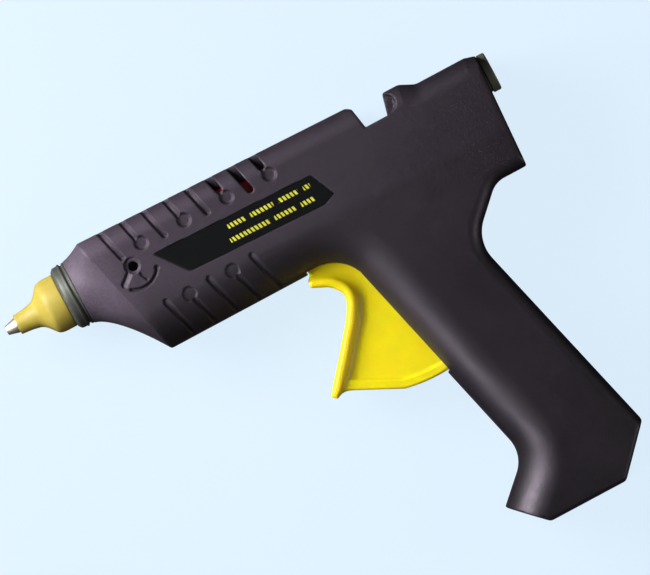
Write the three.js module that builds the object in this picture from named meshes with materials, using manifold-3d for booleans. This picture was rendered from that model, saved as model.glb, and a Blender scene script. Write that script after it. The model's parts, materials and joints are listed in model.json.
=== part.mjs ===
// A full-size hot glue gun lying on its right side.
// Millimetres. X runs from the nozzle to the rear along the glue stick's axis, Y to the gun's top,
// Z to its left side. The origin is on the right side's flat face, under the stick's axis, abreast
// of the trigger's pivot. Pieces are shaped about the casing's middle plane and lifted by half the
// casing's width at the end.

import * as THREE from 'three';
import { mergeVertices } from 'three/addons/utils/BufferGeometryUtils.js';
import Module from 'manifold-3d';

const wasm = await Module();
wasm.setup();

// Shared clearances
const bodyWidth = 34;
const wall = 2.2;
const halvesGap = 0.3;
const fit = 0.3;
const pinClearance = 0.12;
const overrun = 3;
const reach = 400;
const halfWidth = bodyWidth / 2;

// The casing's sides, seen from its left: distances from the stick's axis and from the pivot
const frontReach = 100.3;
const rearReach = 65.3;
const rearLean = 3;
const topHeight = 13.2;
const topLean = 1.43;
const undersideDepth = 33.65;
const humpHeight = 11.4;
const rearTopHeight = 8.6;
const rearTopStart = 42;
const rearSlopeRun = 5.7;
const rearDepth = 36.05;
const handleFrontX = -10.3;
const handleFrontRake = 14.2;
const handleBackX = 38.9;
const handleBackDepth = 67;
const handleBackRake = 14.6;
const rearSlopeX = 50.7;
const rearSlopeAngle = 44.3;
const footCornerDepth = 126.9;
const toeAngle = 43.5;
const toeUnderX = 10.8;
const toeUnderAngle = 44.4;
const bottomDepth = 152.6;
const heelX = 41.4;
const heelAngle = 47.2;

// The casing's roundings
const guardRadius = 13;
const footRadius = 12;
const saddleRadius = 14;
const rearSlopeRadius = 9;
const gripRounding = 16;
const topRounding = 8;
const backRounding = 5;
const edgeRounding = 1.8;

// The casing's flared nose
const noseRadius = 12.4;
const ridgeSetback = 7.7;
const ridgeTopX = frontReach - ridgeSetback;
const ridgeSlope = 0.257;
const flarePower = 1.5;
const noseBlockLength = 8;
const flareSides = 28;
const flareShares = [0, 0.25, 0.5, 0.75, 1, 1.2];
const innerFlareShares = [0, 0.5, 1, 1.2];

// The notch in the top, and the hump behind it
const notchFrontX = 17.5;
const notchFloorStart = 18.9;
const notchFloorEnd = 28;
const notchEndX = 30;
const notchFloorHeight = 3.4;
const notchCornerRun = 1.8;
const notchCornerDrop = 1.4;
const scoopRadius = 3.4;
const scoopX = 29.3;
const scoopY = 7.4;
const scoopDepth = 5.5;

// The glue stick's path
const stickBore = 12;
const inletReach = 69;
const inletRadius = 7.35;
const inletNeckRadius = 6.8;
const inletCollarRadius = 7.6;
const inletLength = 13;

// The vents
const topVentCount = 8;
const openVentCount = 3;
const lowVentCount = 5;
const topVentSetback = 20;
const topVentFirstX = topVentSetback - frontReach;
const topVentPitch = 8.68;
const topVentEnd = 2.2;
const lowVentSetback = 26.6;
const lowVentFirstX = lowVentSetback - frontReach;
const lowVentPitch = 8.75;
const lowVentEnd = -16.8;
const ventWidth = 2.5;
const ventLean = 14.5;
const ventBulbRadius = 2.7;
const ventLand = 4;
const ventDepth = 1.1;

// The wire stand's socket
const standSetback = 22.2;
const standX = standSetback - frontReach;
const standY = -1.4;
const standHoleRadius = 1.45;
const standDishRadius = 2.6;
const standDishDepth = 0.8;
const standArcRadius = 8.6;
const standGrooveWidth = 0.8;
const standGrooveDepth = 0.6;
const standArcFrom = -130;
const standArcTo = -29;
const standSpokeAngles = [-140, -71];

// The label plate
const labelThickness = 0.4;
const labelRecess = 0.5;
const labelSetback = 30.9;
const labelLeftX = frontReach - labelSetback;
const labelRightX = 2.5;
const labelTopY = 0.9;
const labelBottomY = 12.2;
const labelBevel = 4.4;
const labelSlant = 8.7;
const labelDrop = 1.8;

// The screws and their bosses
const screwRadius = 1.3;
const screwPilotRadius = 1.6;
const screwHeadRadius = 2.6;
const screwHeadHeight = 2;
const screwWellRadius = 3.1;
const screwLength = 16;
const screwFloor = 3;
const screwDrive = 0.7;
const bossRadius = 4.3;
const barrelBossShares = [[-0.8, 0.66], [-0.46, 0.7]];
const rearBossShares = [[0.814, 0.66]];
const handleBossShares = [[0.155, 0.66], [0.565, 0.3], [0.9, 0.56]];

// The nozzle, its cover and its ring
const ringLength = 5.6;
const ringFrontX = frontReach + ringLength;
const tipProjection = 29.2;
const tipReach = frontReach + tipProjection;
const tipRadius = 1.7;
const tipConeLength = 4.4;
const tipConeRadius = 2.9;
const neckLength = 7.4;
const neckRadius = 3.5;
const shoulderRadius = 6;
const shoulderLength = 8.6;
const shoulderSlope = 2.6;
const stemRadius = 4.4;
const stemLength = 14;
const nozzleBore = 1.1;
const orificeRadius = 0.75;
const orificeLength = 2;
const coverLip = 0.45;
const coverWaistProjection = 11.9;
const coverWaistX = ringFrontX + coverWaistProjection;
const coverWaistRadius = 4.8;
const coverShoulderProjection = 6.4;
const coverShoulderX = ringFrontX + coverShoulderProjection;
const coverRadius = 10.3;
const coverRound = 1.2;
const ringChamfer = 1.7;
const ringGrooveWidth = 1;
const ringGrooveDepth = 0.7;
const ringRadius = 12.35;
const ringSpigotRadius = 9.4;
const ringSpigotLength = 4.2;
const ringFlangeRadius = 10.9;
const ringFlangeWidth = 1.6;
const ringBore = 7;

// The heating chamber and its heater
const chamberRadius = 8.5;
const chamberNeckRadius = 6.6;
const chamberNeckLength = 9;
const chamberProjection = 3.1;
const chamberFrontX = frontReach + chamberProjection;
const chamberRearX = 47.5;
const chamberTailRadius = 7.3;
const chamberTailLength = 8;
const chamberBore = 5.8;
const chamberThroatRadius = 2.4;
const podSetback = 12.3;
const podFrontX = frontReach - podSetback;
const podRearX = 54;
const podHalfWidth = 7;
const podDepth = 16;
const podSink = 1.6;
const pocketTop = 9.9;
const pocketHeight = 4.4;
const pocketHalfWidth = 5;
const insulationWall = 0.35;
const electrodeThickness = 0.5;
const electrodeTail = 4;
const electrodeTabWidth = 2.6;
const resistorThickness = 1.5;
const resistorHalfWidth = 4;

// The stick sleeve and its clamp
const sleeveRearX = 18.5;
const sleeveWall = 2.1;
const sleeveStep = 4;
const clampWidth = 4;
const clampThickness = 0.9;
const clampEar = 2.4;

// The trigger
const pivotDepth = 28;
const triggerTravel = 18;
const pivotRadius = 2;
const hubRadius = 6.4;
const triggerLength = 59.2;
const webHalf = 4.6;
const rimHalf = 5.5;
const rimHeight = 3.2;
const fingerHalf = 7.6;
const fingerThickness = 2.3;
const fingerFillet = 2.4;
const webNoseRadius = 24.2;
const webHidden = 7;
const webNoseFrom = 168;
const webNoseTo = 201;
const guardShare = 0.1;
const slotEndShare = 0.45;
const slotClearance = 0.6;
const armHalf = 2.4;
const armWidth = 7.4;
const armTaper = 0.7;
const armTop = 1.2;
const fingerShares = [
  [-0.432, -0.171], [-0.372, -0.189], [-0.325, -0.213], [-0.291, -0.246], [-0.269, -0.279],
  [-0.262, -0.313], [-0.27, -0.35], [-0.298, -0.404], [-0.34, -0.467], [-0.46, -0.616],
  [-0.577, -0.755], [-0.635, -0.812],
];
const rimFrontShares = [-0.575, -0.798];
const rimKinkShares = [-0.215, -0.966];

// The feed carriage, its gripper and its spring
const drivePinDepth = 12;
const carriageLength = 12;
const carriageHalfWidth = 9.1;
const carriageHeight = 8.6;
const carriageFloor = 8.3;
const carriageWingHeight = 1.5;
const carriageWingReach = 12.4;
const earInner = 4.6;
const earOuter = 6.6;
const earDepth = 12.2;
const earRadius = 2.4;
const gripperPinX = 9.2;
const gripperPinDepth = 9.9;
const gripperPinRadius = 1.2;
const drivePinRadius = gripperPinRadius;
const gripperHalf = 4.2;
const cheekInner = 2.8;
const toothHeight = 1;
const toothCount = 4;
const springWire = 1;
const springRadius = 8;
const springTurns = 5;
const springSteps = 8;
const springSides = 5;

// Ribs inside the casing
const ribThickness = 1.8;
const railThickness = 2;
const pivotBossRadius = 5;

// The leads, their block and the cord's inlet
const leadRadius = 1.1;
const leadSide = 10.4;
const leadBarrelShares = [[-0.36, 0.48], [-0.2, 0.56], [-0.06, 0.5], [0.065, 0.5]];
const leadHandleShares = [[0.06, 0.84], [0.35, 0.82]];
const leadDrop = 1.1;
const blockHalfLength = 7;
const blockHalfHeight = 9;
const blockHalfWidth = 6;
const blockBore = 1.6;
const blockDownShare = 0.72;
const blockAcrossShare = 0.55;
const cordInletRadius = 4;

// Small helpers

const radians = (degrees) => THREE.MathUtils.degToRad(degrees);
const polar = (radius, degrees) => [
  radius * Math.cos(radians(degrees)),
  radius * Math.sin(radians(degrees)),
];
const range = (count) => Array.from({ length: count }, (_, i) => i);

function toSolid(geometry) {
  const bare = geometry.clone();
  bare.deleteAttribute('normal');
  bare.deleteAttribute('uv');
  const merged = mergeVertices(bare, fit / 1000);
  const mesh = new wasm.Mesh({
    numProp: 3,
    vertProperties: new Float32Array(merged.attributes.position.array),
    triVerts: new Uint32Array(merged.index.array),
  });
  mesh.merge();
  return new wasm.Manifold(mesh);
}

function toGeometry(solid) {
  const mesh = solid.getMesh();
  const geometry = new THREE.BufferGeometry();
  geometry.setAttribute('position', new THREE.BufferAttribute(new Float32Array(mesh.vertProperties), 3));
  geometry.setIndex(new THREE.BufferAttribute(new Uint32Array(mesh.triVerts), 1));
  geometry.computeVertexNormals();
  return geometry;
}

const join = (solids) => solids.reduce((all, next) => all.add(next));
const cut = (solid, tools) => tools.reduce((rest, tool) => rest.subtract(tool), solid);

// A flat outline given depth along Z, from low to high
function plate(outline, low, high) {
  const shape = new THREE.Shape(outline.map(([x, y]) => new THREE.Vector2(x, y)));
  const geometry = new THREE.ExtrudeGeometry(shape, { depth: high - low, bevelEnabled: false });
  return toSolid(geometry.translate(0, 0, low));
}

function block(x0, x1, y0, y1, z0, z1) {
  const geometry = new THREE.BoxGeometry(x1 - x0, y1 - y0, z1 - z0);
  return toSolid(geometry.translate((x0 + x1) / 2, (y0 + y1) / 2, (z0 + z1) / 2));
}

// A round bar along Z
function disc(x, y, radius, low, high, sides = 24) {
  const geometry = new THREE.CylinderGeometry(radius, radius, high - low, sides);
  return toSolid(geometry.rotateX(Math.PI / 2).translate(x, y, (low + high) / 2));
}

// A profile of [radius, x] pairs turned about the stick's axis
function turned(profile, sides = 24) {
  const points = profile.map(([radius, x]) => new THREE.Vector2(radius, x));
  const onAxis = profile[0][0] === 0 && profile[profile.length - 1][0] === 0;
  if (!onAxis) points.push(points[0].clone());
  return toSolid(new THREE.LatheGeometry(points, sides).rotateZ(-Math.PI / 2));
}

const rod = (radius, x0, x1, sides) => turned([[0, x0], [radius, x0], [radius, x1], [0, x1]], sides);

// Closed skin over rings of points, each ring convex, the ends closed by fans
function skin(rings) {
  const count = rings[0].length;
  const positions = rings.flat(2);
  const index = [];
  for (let r = 0; r < rings.length - 1; r += 1) {
    for (let i = 0; i < count; i += 1) {
      const a = r * count + i;
      const b = r * count + ((i + 1) % count);
      index.push(a, b, b + count, a, b + count, a + count);
    }
  }
  const last = (rings.length - 1) * count;
  for (let i = 1; i < count - 1; i += 1) {
    index.push(0, i + 1, i);
    index.push(last, last + i, last + i + 1);
  }
  const geometry = new THREE.BufferGeometry();
  geometry.setAttribute('position', new THREE.Float32BufferAttribute(positions, 3));
  geometry.setIndex(index);
  const solid = toSolid(geometry);
  return solid.volume() > 0 ? solid : toSolid(flipped(geometry));
}

function flipped(geometry) {
  const index = Array.from(geometry.index.array);
  for (let i = 0; i < index.length; i += 3) {
    [index[i + 1], index[i + 2]] = [index[i + 2], index[i + 1]];
  }
  geometry.setIndex(index);
  return geometry;
}

// The casing's outline

const headingVector = (degrees) => new THREE.Vector2(...polar(1, degrees));

// Where two lines cross, each given by a point and a heading
function crossing(p, headingP, q, headingQ) {
  const d = headingVector(headingP);
  const e = headingVector(headingQ);
  const along = ((q.x - p.x) * e.y - (q.y - p.y) * e.x) / (d.x * e.y - d.y * e.x);
  return p.clone().addScaledVector(d, along);
}

const frontHeading = handleFrontRake - 90;
const toeHeading = toeAngle - 180;
const handleFrontPoint = new THREE.Vector2(handleFrontX, -undersideDepth);
const footCorner = crossing(handleFrontPoint, frontHeading, new THREE.Vector2(0, -footCornerDepth), 0);
const handleBackPoint = new THREE.Vector2(handleBackX, -handleBackDepth);
const backHeading = handleBackRake - 90;
const rearSlopePoint = new THREE.Vector2(rearSlopeX, -rearDepth);
const saddleCorner = crossing(rearSlopePoint, 180 + rearSlopeAngle, handleBackPoint, backHeading);

// A place in the handle: a share of the way down from the underside, and across from its front
function inHandle(downShare, acrossShare) {
  const depth = undersideDepth + (bottomDepth - undersideDepth) * downShare;
  const level = new THREE.Vector2(0, -depth);
  const front = crossing(handleFrontPoint, frontHeading, level, 0).x;
  const back = crossing(handleBackPoint, backHeading, level, 0).x;
  return [front + (back - front) * acrossShare, -depth];
}

// Stations along a side: straight runs between corners, and an arc at each rounded corner.
// The inside of the casing lies on the side's left (1) or right (-1).
function stations(corners, side) {
  const list = [];
  const heading = (a, b) => Math.atan2(b.y - a.y, b.x - a.x);
  const inward = (angle) => angle + (side * Math.PI) / 2;
  const add = (x, y, normal) => list.push({ x, y, nx: Math.cos(normal), ny: Math.sin(normal) });
  corners.forEach(({ point, radius }, i) => {
    const before = i > 0 ? heading(corners[i - 1].point, point) : null;
    const after = i < corners.length - 1 ? heading(point, corners[i + 1].point) : null;
    if (before === null || after === null) {
      add(point.x, point.y, inward(before ?? after));
      return;
    }
    let turn = after - before;
    turn -= 2 * Math.PI * Math.round(turn / (2 * Math.PI));
    const tangent = radius * Math.tan(Math.abs(turn) / 2);
    const startX = point.x - Math.cos(before) * tangent;
    const startY = point.y - Math.sin(before) * tangent;
    const centreX = startX - Math.cos(inward(before)) * radius;
    const centreY = startY - Math.sin(inward(before)) * radius;
    const steps = Math.ceil(Math.abs(turn) / radians(16));
    range(steps + 1).forEach((k) => {
      const normal = inward(before) + (turn * k) / steps;
      add(centreX + Math.cos(normal) * radius, centreY + Math.sin(normal) * radius, normal);
    });
  });
  return list;
}

// One side of the casing as a solid that runs far inward, with its two edges rounded
function sideSolid(corners, side, rounding, steps, inset) {
  const half = halfWidth - inset;
  const radius = Math.max(rounding - inset, edgeRounding / 4);
  const section = [[reach, -half]];
  for (let i = 0; i <= steps; i += 1) {
    const angle = ((i / steps) * Math.PI) / 2;
    section.push([radius - radius * Math.sin(angle), radius - half - radius * Math.cos(angle)]);
  }
  for (let i = steps; i >= 0; i -= 1) {
    const angle = ((i / steps) * Math.PI) / 2;
    section.push([radius - radius * Math.sin(angle), half - radius + radius * Math.cos(angle)]);
  }
  section.push([reach, half]);
  const rings = stations(corners, side).map(({ x, y, nx, ny }) =>
    section.map(([u, z]) => [x + nx * (u + inset), y + ny * (u + inset), z]));
  return skin(rings);
}

// A straight side through a point, with the casing on its left
function straightSide(point, heading, rounding, steps, inset) {
  const along = headingVector(heading).multiplyScalar(reach);
  const corners = [{ point: point.clone().sub(along) }, { point: point.clone().add(along) }];
  return sideSolid(corners, 1, rounding, steps, inset);
}

function frontAndUnderside(inset) {
  const start = new THREE.Vector2(-reach, -undersideDepth);
  const end = footCorner.clone().addScaledVector(headingVector(toeHeading), reach / 10);
  return sideSolid([
    { point: start },
    { point: handleFrontPoint, radius: guardRadius },
    { point: footCorner, radius: footRadius },
    { point: end },
  ], 1, gripRounding, inset < wall / 2 ? 5 : 4, inset);
}

function backOfHandle(inset) {
  const end = saddleCorner.clone().addScaledVector(headingVector(backHeading), bottomDepth);
  return sideSolid([
    { point: new THREE.Vector2(reach, -rearDepth) },
    { point: rearSlopePoint, radius: rearSlopeRadius },
    { point: saddleCorner, radius: saddleRadius },
    { point: end },
  ], -1, backRounding, inset < wall / 2 ? 3 : 2, inset);
}

// The top steps down twice towards the rear: barrel, hump and stick inlet
function topOfCasing(inset) {
  const steps = inset < wall / 2 ? 4 : 3;
  const level = (height, lean) =>
    straightSide(new THREE.Vector2(0, height), 180 - lean, topRounding, steps, inset);
  const notchMiddle = (notchFloorStart + notchFloorEnd) / 2;
  const tall = reach / 2;
  const barrelPart = block(-reach, notchMiddle, -reach, tall, -tall, tall);
  const slopeEnd = rearTopStart - inset;
  const humpPart = plate([
    [notchMiddle, -reach],
    [slopeEnd, -reach],
    [slopeEnd, rearTopHeight - inset],
    [slopeEnd - rearSlopeRun, humpHeight - inset],
    [slopeEnd - rearSlopeRun, tall],
    [notchMiddle, tall],
  ], -tall, tall);
  return join([
    level(topHeight, topLean).intersect(barrelPart),
    level(humpHeight, 0).intersect(humpPart),
    level(rearTopHeight, 0).intersect(block(notchMiddle, reach, -reach, tall, -tall, tall)),
  ]);
}

// How far the barrel's rounded section reaches from the stick's axis in one direction
function sectionReach(angle, inset) {
  const top = topHeight + Math.tan(radians(topLean)) * ridgeTopX - inset;
  const bottom = undersideDepth - inset;
  const half = halfWidth - inset;
  const inside = (r) => {
    const z = Math.abs(r * Math.cos(angle));
    const y = r * Math.sin(angle);
    const rounding = (y > 0 ? topRounding : gripRounding) - inset;
    const dy = (y > 0 ? y - top : -y - bottom) + rounding;
    const dz = z - half + rounding;
    return Math.hypot(Math.max(dy, 0), Math.max(dz, 0)) < rounding;
  };
  let low = 0;
  let high = bodyWidth * 2;
  range(30).forEach(() => {
    const middle = (low + high) / 2;
    if (inside(middle)) low = middle;
    else high = middle;
  });
  return low;
}

// The nose flares from a round face to the barrel's section on a slanted plane
function flaredNose(inset) {
  const directions = range(flareSides).map((i) => (i / flareSides) * 2 * Math.PI);
  const top = topHeight + Math.tan(radians(topLean)) * ridgeTopX;
  const start = -frontReach + inset;
  const place = (angle, share) => {
    const edge = sectionReach(angle, inset);
    const ridgeX = -ridgeTopX + inset + (top - edge * Math.sin(angle)) * ridgeSlope;
    const radius = noseRadius - inset + (edge - noseRadius + inset) * share ** flarePower;
    const x = start + (ridgeX - start) * share;
    return [x, radius * Math.sin(angle), radius * Math.cos(angle)];
  };
  const shares = inset > 0 ? innerFlareShares : flareShares;
  const rings = shares.map((share) => directions.map((angle) => place(angle, share)));
  const far = directions.map((angle) => {
    const [x] = place(angle, shares[shares.length - 1]);
    return [x, reach * Math.sin(angle), reach * Math.cos(angle)];
  });
  rings.push(far, far.map(([, y, z]) => [reach, y, z]));
  return skin(rings);
}

// The whole casing's outer form, or that form drawn in on every side
function casingForm(inset) {
  const rearPoint = new THREE.Vector2(rearReach, 0);
  const bottomPoint = new THREE.Vector2(0, -bottomDepth);
  const toePoint = new THREE.Vector2(toeUnderX, -bottomDepth);
  const heelPoint = new THREE.Vector2(heelX, -bottomDepth);
  const sides = [
    backOfHandle(inset),
    topOfCasing(inset),
    straightSide(rearPoint, 90 - rearLean, edgeRounding, 2, inset),
    straightSide(bottomPoint, 0, edgeRounding, 2, inset),
    straightSide(toePoint, -toeUnderAngle, edgeRounding, 2, inset),
    straightSide(heelPoint, heelAngle, edgeRounding, 2, inset),
    flaredNose(inset),
  ];
  return sides.reduce((form, next) => form.intersect(next), frontAndUnderside(inset));
}

// Cuts in the casing

const topEdgeAt = (x) => topHeight - Math.tan(radians(topLean)) * x;

function notchOutline(grow) {
  return [
    [notchFrontX - notchCornerRun - grow, topEdgeAt(notchFrontX) + overrun + grow],
    [notchFrontX - notchCornerRun - grow, topEdgeAt(notchFrontX) + grow],
    [notchFrontX - grow, topEdgeAt(notchFrontX) - notchCornerDrop],
    [notchFloorStart - grow, notchFloorHeight - grow],
    [notchFloorEnd + grow, notchFloorHeight - grow],
    [notchEndX + grow, humpHeight],
    [notchEndX + grow, topEdgeAt(notchFrontX) + overrun + grow],
  ];
}

function arcPoints(x, y, radius, from, to, steps) {
  return range(steps + 1).map((i) => {
    const [dx, dy] = polar(radius, from + ((to - from) * i) / steps);
    return [x + dx, y + dy];
  });
}

// A leaning slot from its round end to past the casing's edge
function ventOutline(x, endY, farY) {
  const radius = ventWidth / 2;
  const lean = Math.tan(radians(ventLean));
  const up = Math.sign(farY - endY);
  const centreY = endY + up * radius;
  const farX = x - (farY - centreY) * lean;
  const round = arcPoints(x, centreY, radius, up > 0 ? 180 : 0, up > 0 ? 360 : 180, 4);
  return up > 0
    ? [...round, [farX + radius, farY], [farX - radius, farY]]
    : [...round, [farX - radius, farY], [farX + radius, farY]];
}

// A row of slots on both sides of the casing. Every second one has a round bulb at its end, or
// starts beyond where that bulb lies.
function ventTools(first, pitch, indices, endY, farY, bulbs = true) {
  const tools = [];
  indices.forEach((i) => {
    const x = first + pitch * i;
    const up = Math.sign(farY - endY);
    [1, -1].forEach((side) => {
      const low = side > 0 ? ventLand : -halfWidth - overrun;
      const high = side > 0 ? halfWidth + overrun : -ventLand;
      const hasBulb = i % 2 === 1;
      const start = endY + (hasBulb && !bulbs ? up * ventBulbRadius * 2 : 0);
      const startX = x - (start - endY) * Math.tan(radians(ventLean));
      tools.push(plate(ventOutline(startX, start, farY), low, high));
      if (hasBulb && bulbs) {
        tools.push(disc(x, endY + up * ventBulbRadius, ventBulbRadius, low, high, 12));
      }
    });
  });
  return join(tools);
}

function ventCuts(grooveForm) {
  const ventTop = topHeight + wall + overrun;
  const ventBottom = -undersideDepth - overrun;
  const openTop = range(topVentCount).filter((i) => i >= topVentCount - openVentCount);
  const grooves = [
    ventTools(topVentFirstX, topVentPitch, range(topVentCount), topVentEnd, ventTop),
    ventTools(lowVentFirstX, lowVentPitch, range(lowVentCount), lowVentEnd, ventBottom),
  ];
  const slots = ventTools(topVentFirstX, topVentPitch, openTop, topVentEnd, ventTop, false);
  return [...grooves.map((tool) => tool.subtract(grooveForm)), slots];
}

// The wire stand's socket: a hole in a dish, with an arc and two short spokes cut round it
function standCuts(side) {
  const face = side * halfWidth;
  const span = (depth) => (side > 0 ? [face - depth, face + overrun] : [face - overrun, face + depth]);
  const ring = [
    ...arcPoints(standX, standY, standArcRadius, standArcFrom, standArcTo, 8),
    ...arcPoints(standX, standY, standArcRadius - standGrooveWidth, standArcTo, standArcFrom, 8),
  ];
  const spoke = (angle) => {
    const [ux, uy] = polar(1, angle);
    const half = standGrooveWidth / 2;
    const inner = standDishRadius - standGrooveWidth;
    const outer = standArcRadius - standGrooveWidth / 2;
    return [
      [standX + ux * inner + uy * half, standY + uy * inner - ux * half],
      [standX + ux * outer + uy * half, standY + uy * outer - ux * half],
      [standX + ux * outer - uy * half, standY + uy * outer + ux * half],
      [standX + ux * inner - uy * half, standY + uy * inner + ux * half],
    ];
  };
  return [
    disc(standX, standY, standHoleRadius, ...span(wall + overrun), 14),
    disc(standX, standY, standDishRadius, ...span(standDishDepth), 18),
    plate(ring, ...span(standGrooveDepth)),
    ...standSpokeAngles.map((angle) => plate(spoke(angle), ...span(standGrooveDepth))),
  ];
}

function labelOutline(grow) {
  return [
    [-labelLeftX - grow * 2, -labelTopY + grow],
    [-labelLeftX + labelSlant - grow, -labelBottomY - grow],
    [-labelRightX - labelBevel, -labelBottomY - labelDrop - grow],
    [-labelRightX + grow, -labelBottomY],
    [-labelRightX - labelBevel + grow, -labelTopY - labelDrop - grow + grow * 2],
  ];
}

// A round scoop at each front corner of the hump, clear of the stick's bore
function scoopCuts() {
  return [1, -1].map((side) => {
    const face = side * halfWidth;
    const low = side > 0 ? face - scoopDepth : face - overrun;
    const high = side > 0 ? face + overrun : face + scoopDepth;
    return disc(scoopX, scoopY, scoopRadius, low, high, 20);
  });
}

// The trigger's slot in the casing's front, from under the barrel down the handle
function slotCut() {
  const half = rimHalf + slotClearance;
  const lowY = -pivotDepth - triggerLength - slotClearance;
  const throughWall = wall * 2;
  const [guardX, guardY] = inHandle(guardShare, 0);
  const [lowX] = inHandle((-lowY - undersideDepth) / (bottomDepth - undersideDepth), 0);
  const noseRadius = webNoseRadius + slotClearance;
  const topY = -undersideDepth + throughWall;
  const noseFrom = 180 + Math.asin((-pivotDepth - topY) / noseRadius) / radians(1);
  const nose = arcPoints(0, -pivotDepth, noseRadius, noseFrom, webNoseTo, 8);
  return plate([
    ...nose,
    [-triggerLength, nose.at(-1)[1]],
    [-triggerLength, lowY],
    [lowX + throughWall, lowY],
    [guardX + throughWall, guardY],
    [handleFrontX, topY],
  ], -half, half);
}

// Screws and bosses

const bossPlaces = [
  ...barrelBossShares.map(([along, down]) => [along * frontReach, -down * undersideDepth]),
  ...rearBossShares.map(([along, down]) => [along * rearReach, -down * undersideDepth]),
  ...handleBossShares.map(([down, across]) => inHandle(down, across)),
];
const screwHeadTop = -screwFloor - screwHeadHeight - fit;

// The casing's inner parts

const ribZ = (side, inner) => (side > 0 ? [inner, halfWidth] : [-halfWidth, -inner]);

function ribs(side) {
  const face = halvesGap / 2;
  const limited = (z) => Math.max(-face - ribThickness, Math.min(face + ribThickness, z));
  const low = -carriageFloor - 2;
  const crossRib = (x, bottom, top) => block(x, x + ribThickness, bottom, top, ...ribZ(side, face));
  const [blockX, blockY] = inHandle(blockDownShare, blockAcrossShare);
  const blockSide = blockHalfLength + fit;
  const rail = (y) => block(
    -sleeveRearX, notchFloorStart, y, y + railThickness, ...ribZ(side, carriageHalfWidth + fit));
  const railGap = carriageWingHeight + fit;
  return [
    crossRib(-podFrontX - ribThickness - fit, -undersideDepth / 2, topHeight),
    crossRib(-podRearX + fit, -undersideDepth / 2, topHeight),
    crossRib(-sleeveRearX + fit, low, topHeight),
    block(-podRearX, -sleeveRearX, 0, topHeight * 2, ...ribZ(side, face).map((z) => limited(z))),
    rail(railGap),
    rail(-railGap - railThickness),
    disc(0, -pivotDepth, pivotBossRadius, ...ribZ(side, webHalf + fit * 2), 18),
    block(blockX - blockSide - ribThickness, blockX - blockSide, blockY - blockHalfHeight,
      blockY + blockHalfHeight, ...ribZ(side, face)),
    block(blockX + blockSide, blockX + blockSide + ribThickness, blockY - blockHalfHeight,
      blockY + blockHalfHeight, ...ribZ(side, face)),
    block(blockX - blockSide, blockX + blockSide, blockY - ribThickness / 2,
      blockY + ribThickness / 2, ...ribZ(side, blockHalfWidth + fit)),
    ...bossPlaces.map(([x, y]) => disc(x, y, bossRadius, ...ribZ(side, face), 14)),
  ];
}

// Two cross walls guide the stick behind the notch; the rear one backs the inlet ring
function inletWalls(side) {
  const low = -inletCollarRadius - wall;
  const wallAt = (x) => block(x, x + ribThickness, low, humpHeight, ...ribZ(side, halvesGap / 2));
  return [wallAt(inletReach - inletLength - ribThickness - fit), wallAt(rearTopStart)];
}

function screwCuts(side) {
  return bossPlaces.flatMap(([x, y]) => (side > 0
    ? [disc(x, y, screwPilotRadius, -overrun, screwHeadTop + screwLength + fit, 8)]
    : [
      disc(x, y, screwPilotRadius + fit, -halfWidth - overrun, overrun, 8),
      disc(x, y, screwWellRadius, -halfWidth - overrun, -screwFloor, 14),
    ]));
}

const clampInner = chamberTailRadius + fit * 2 + sleeveWall;
const clampOuter = clampInner + clampThickness;
const clampStart = -chamberRearX + fit + clampThickness;
const clampEnd = clampStart + clampWidth;
const sleeveStepEnd = -chamberRearX + chamberTailLength + sleeveStep;

// Bores along the stick's axis, through both halves
function axisCuts() {
  const noseFace = -frontReach;
  const flangeX = noseFace + ringSpigotLength;
  return [
    rod(ringSpigotRadius + fit, noseFace - overrun, flangeX, 24),
    rod(ringFlangeRadius + fit, flangeX - fit, flangeX + ringFlangeWidth + fit, 24),
    rod(chamberRadius + fit, flangeX, -chamberRearX + fit, 24),
    block(-podFrontX - fit, -podRearX + electrodeTail, -podDepth - fit, 0,
      -podHalfWidth - fit, podHalfWidth + fit),
    rod(clampOuter + fit, -chamberRearX - fit, clampEnd + fit, 24),
    rod(clampInner + fit, -chamberRearX - fit, sleeveStepEnd + fit * 2, 24),
    rod(stickBore / 2 + sleeveWall + fit, -chamberRearX, -sleeveRearX + fit, 24),
    rod(stickBore / 2 + fit, -sleeveRearX - overrun, rearReach + overrun * 2, 24),
    rod(inletNeckRadius + fit, inletReach - inletLength, rearReach + overrun * 2, 24),
    rod(inletCollarRadius + fit, inletReach - inletLength - fit, rearReach - wall, 24),
  ];
}

function pivotCut() {
  const half = halfWidth - wall;
  return disc(0, -pivotDepth, pivotRadius + pinClearance, -half, half, 20);
}

function cordInletCut() {
  const x = (toeUnderX + heelX) / 2;
  const geometry = new THREE.CylinderGeometry(cordInletRadius, cordInletRadius, wall * 6, 20);
  return toSolid(geometry.translate(x, -bottomDepth, 0));
}

const outerForm = casingForm(0);
const grooveForm = casingForm(ventDepth);
const innerForm = casingForm(wall);
const backingForm = casingForm(wall / 2);

function casingHalf(side) {
  const tall = reach / 2;
  const keep = side > 0
    ? block(-reach, reach, -reach, reach, halvesGap / 2, tall)
    : block(-reach, reach, -reach, reach, -tall, -halvesGap / 2);
  const nose = block(-reach, -frontReach + noseBlockLength, -reach, reach, -tall, tall);
  const hump = block(notchFloorStart, scoopX + scoopRadius + wall, 0, tall, -tall, tall);
  const hollow = innerForm
    .subtract(nose)
    .subtract(hump)
    .subtract(plate(notchOutline(wall), -tall, tall));
  const inside = join([...ribs(side), ...inletWalls(side)]).intersect(backingForm);
  const shell = outerForm.subtract(hollow).add(inside);
  return cut(shell, [
    plate(notchOutline(0), -tall, tall),
    ...axisCuts(),
    pivotCut(),
    ...ventCuts(grooveForm),
    ...standCuts(side),
    ...(side > 0 ? [plate(labelOutline(fit), halfWidth - labelRecess, halfWidth + overrun)] : []),
    ...scoopCuts(),
    slotCut(),
    cordInletCut(),
    ...screwCuts(side),
  ]).intersect(keep);
}

function labelPlate() {
  const floor = halfWidth - labelRecess + fit / 3;
  return plate(labelOutline(0), floor, floor + labelThickness);
}

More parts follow.
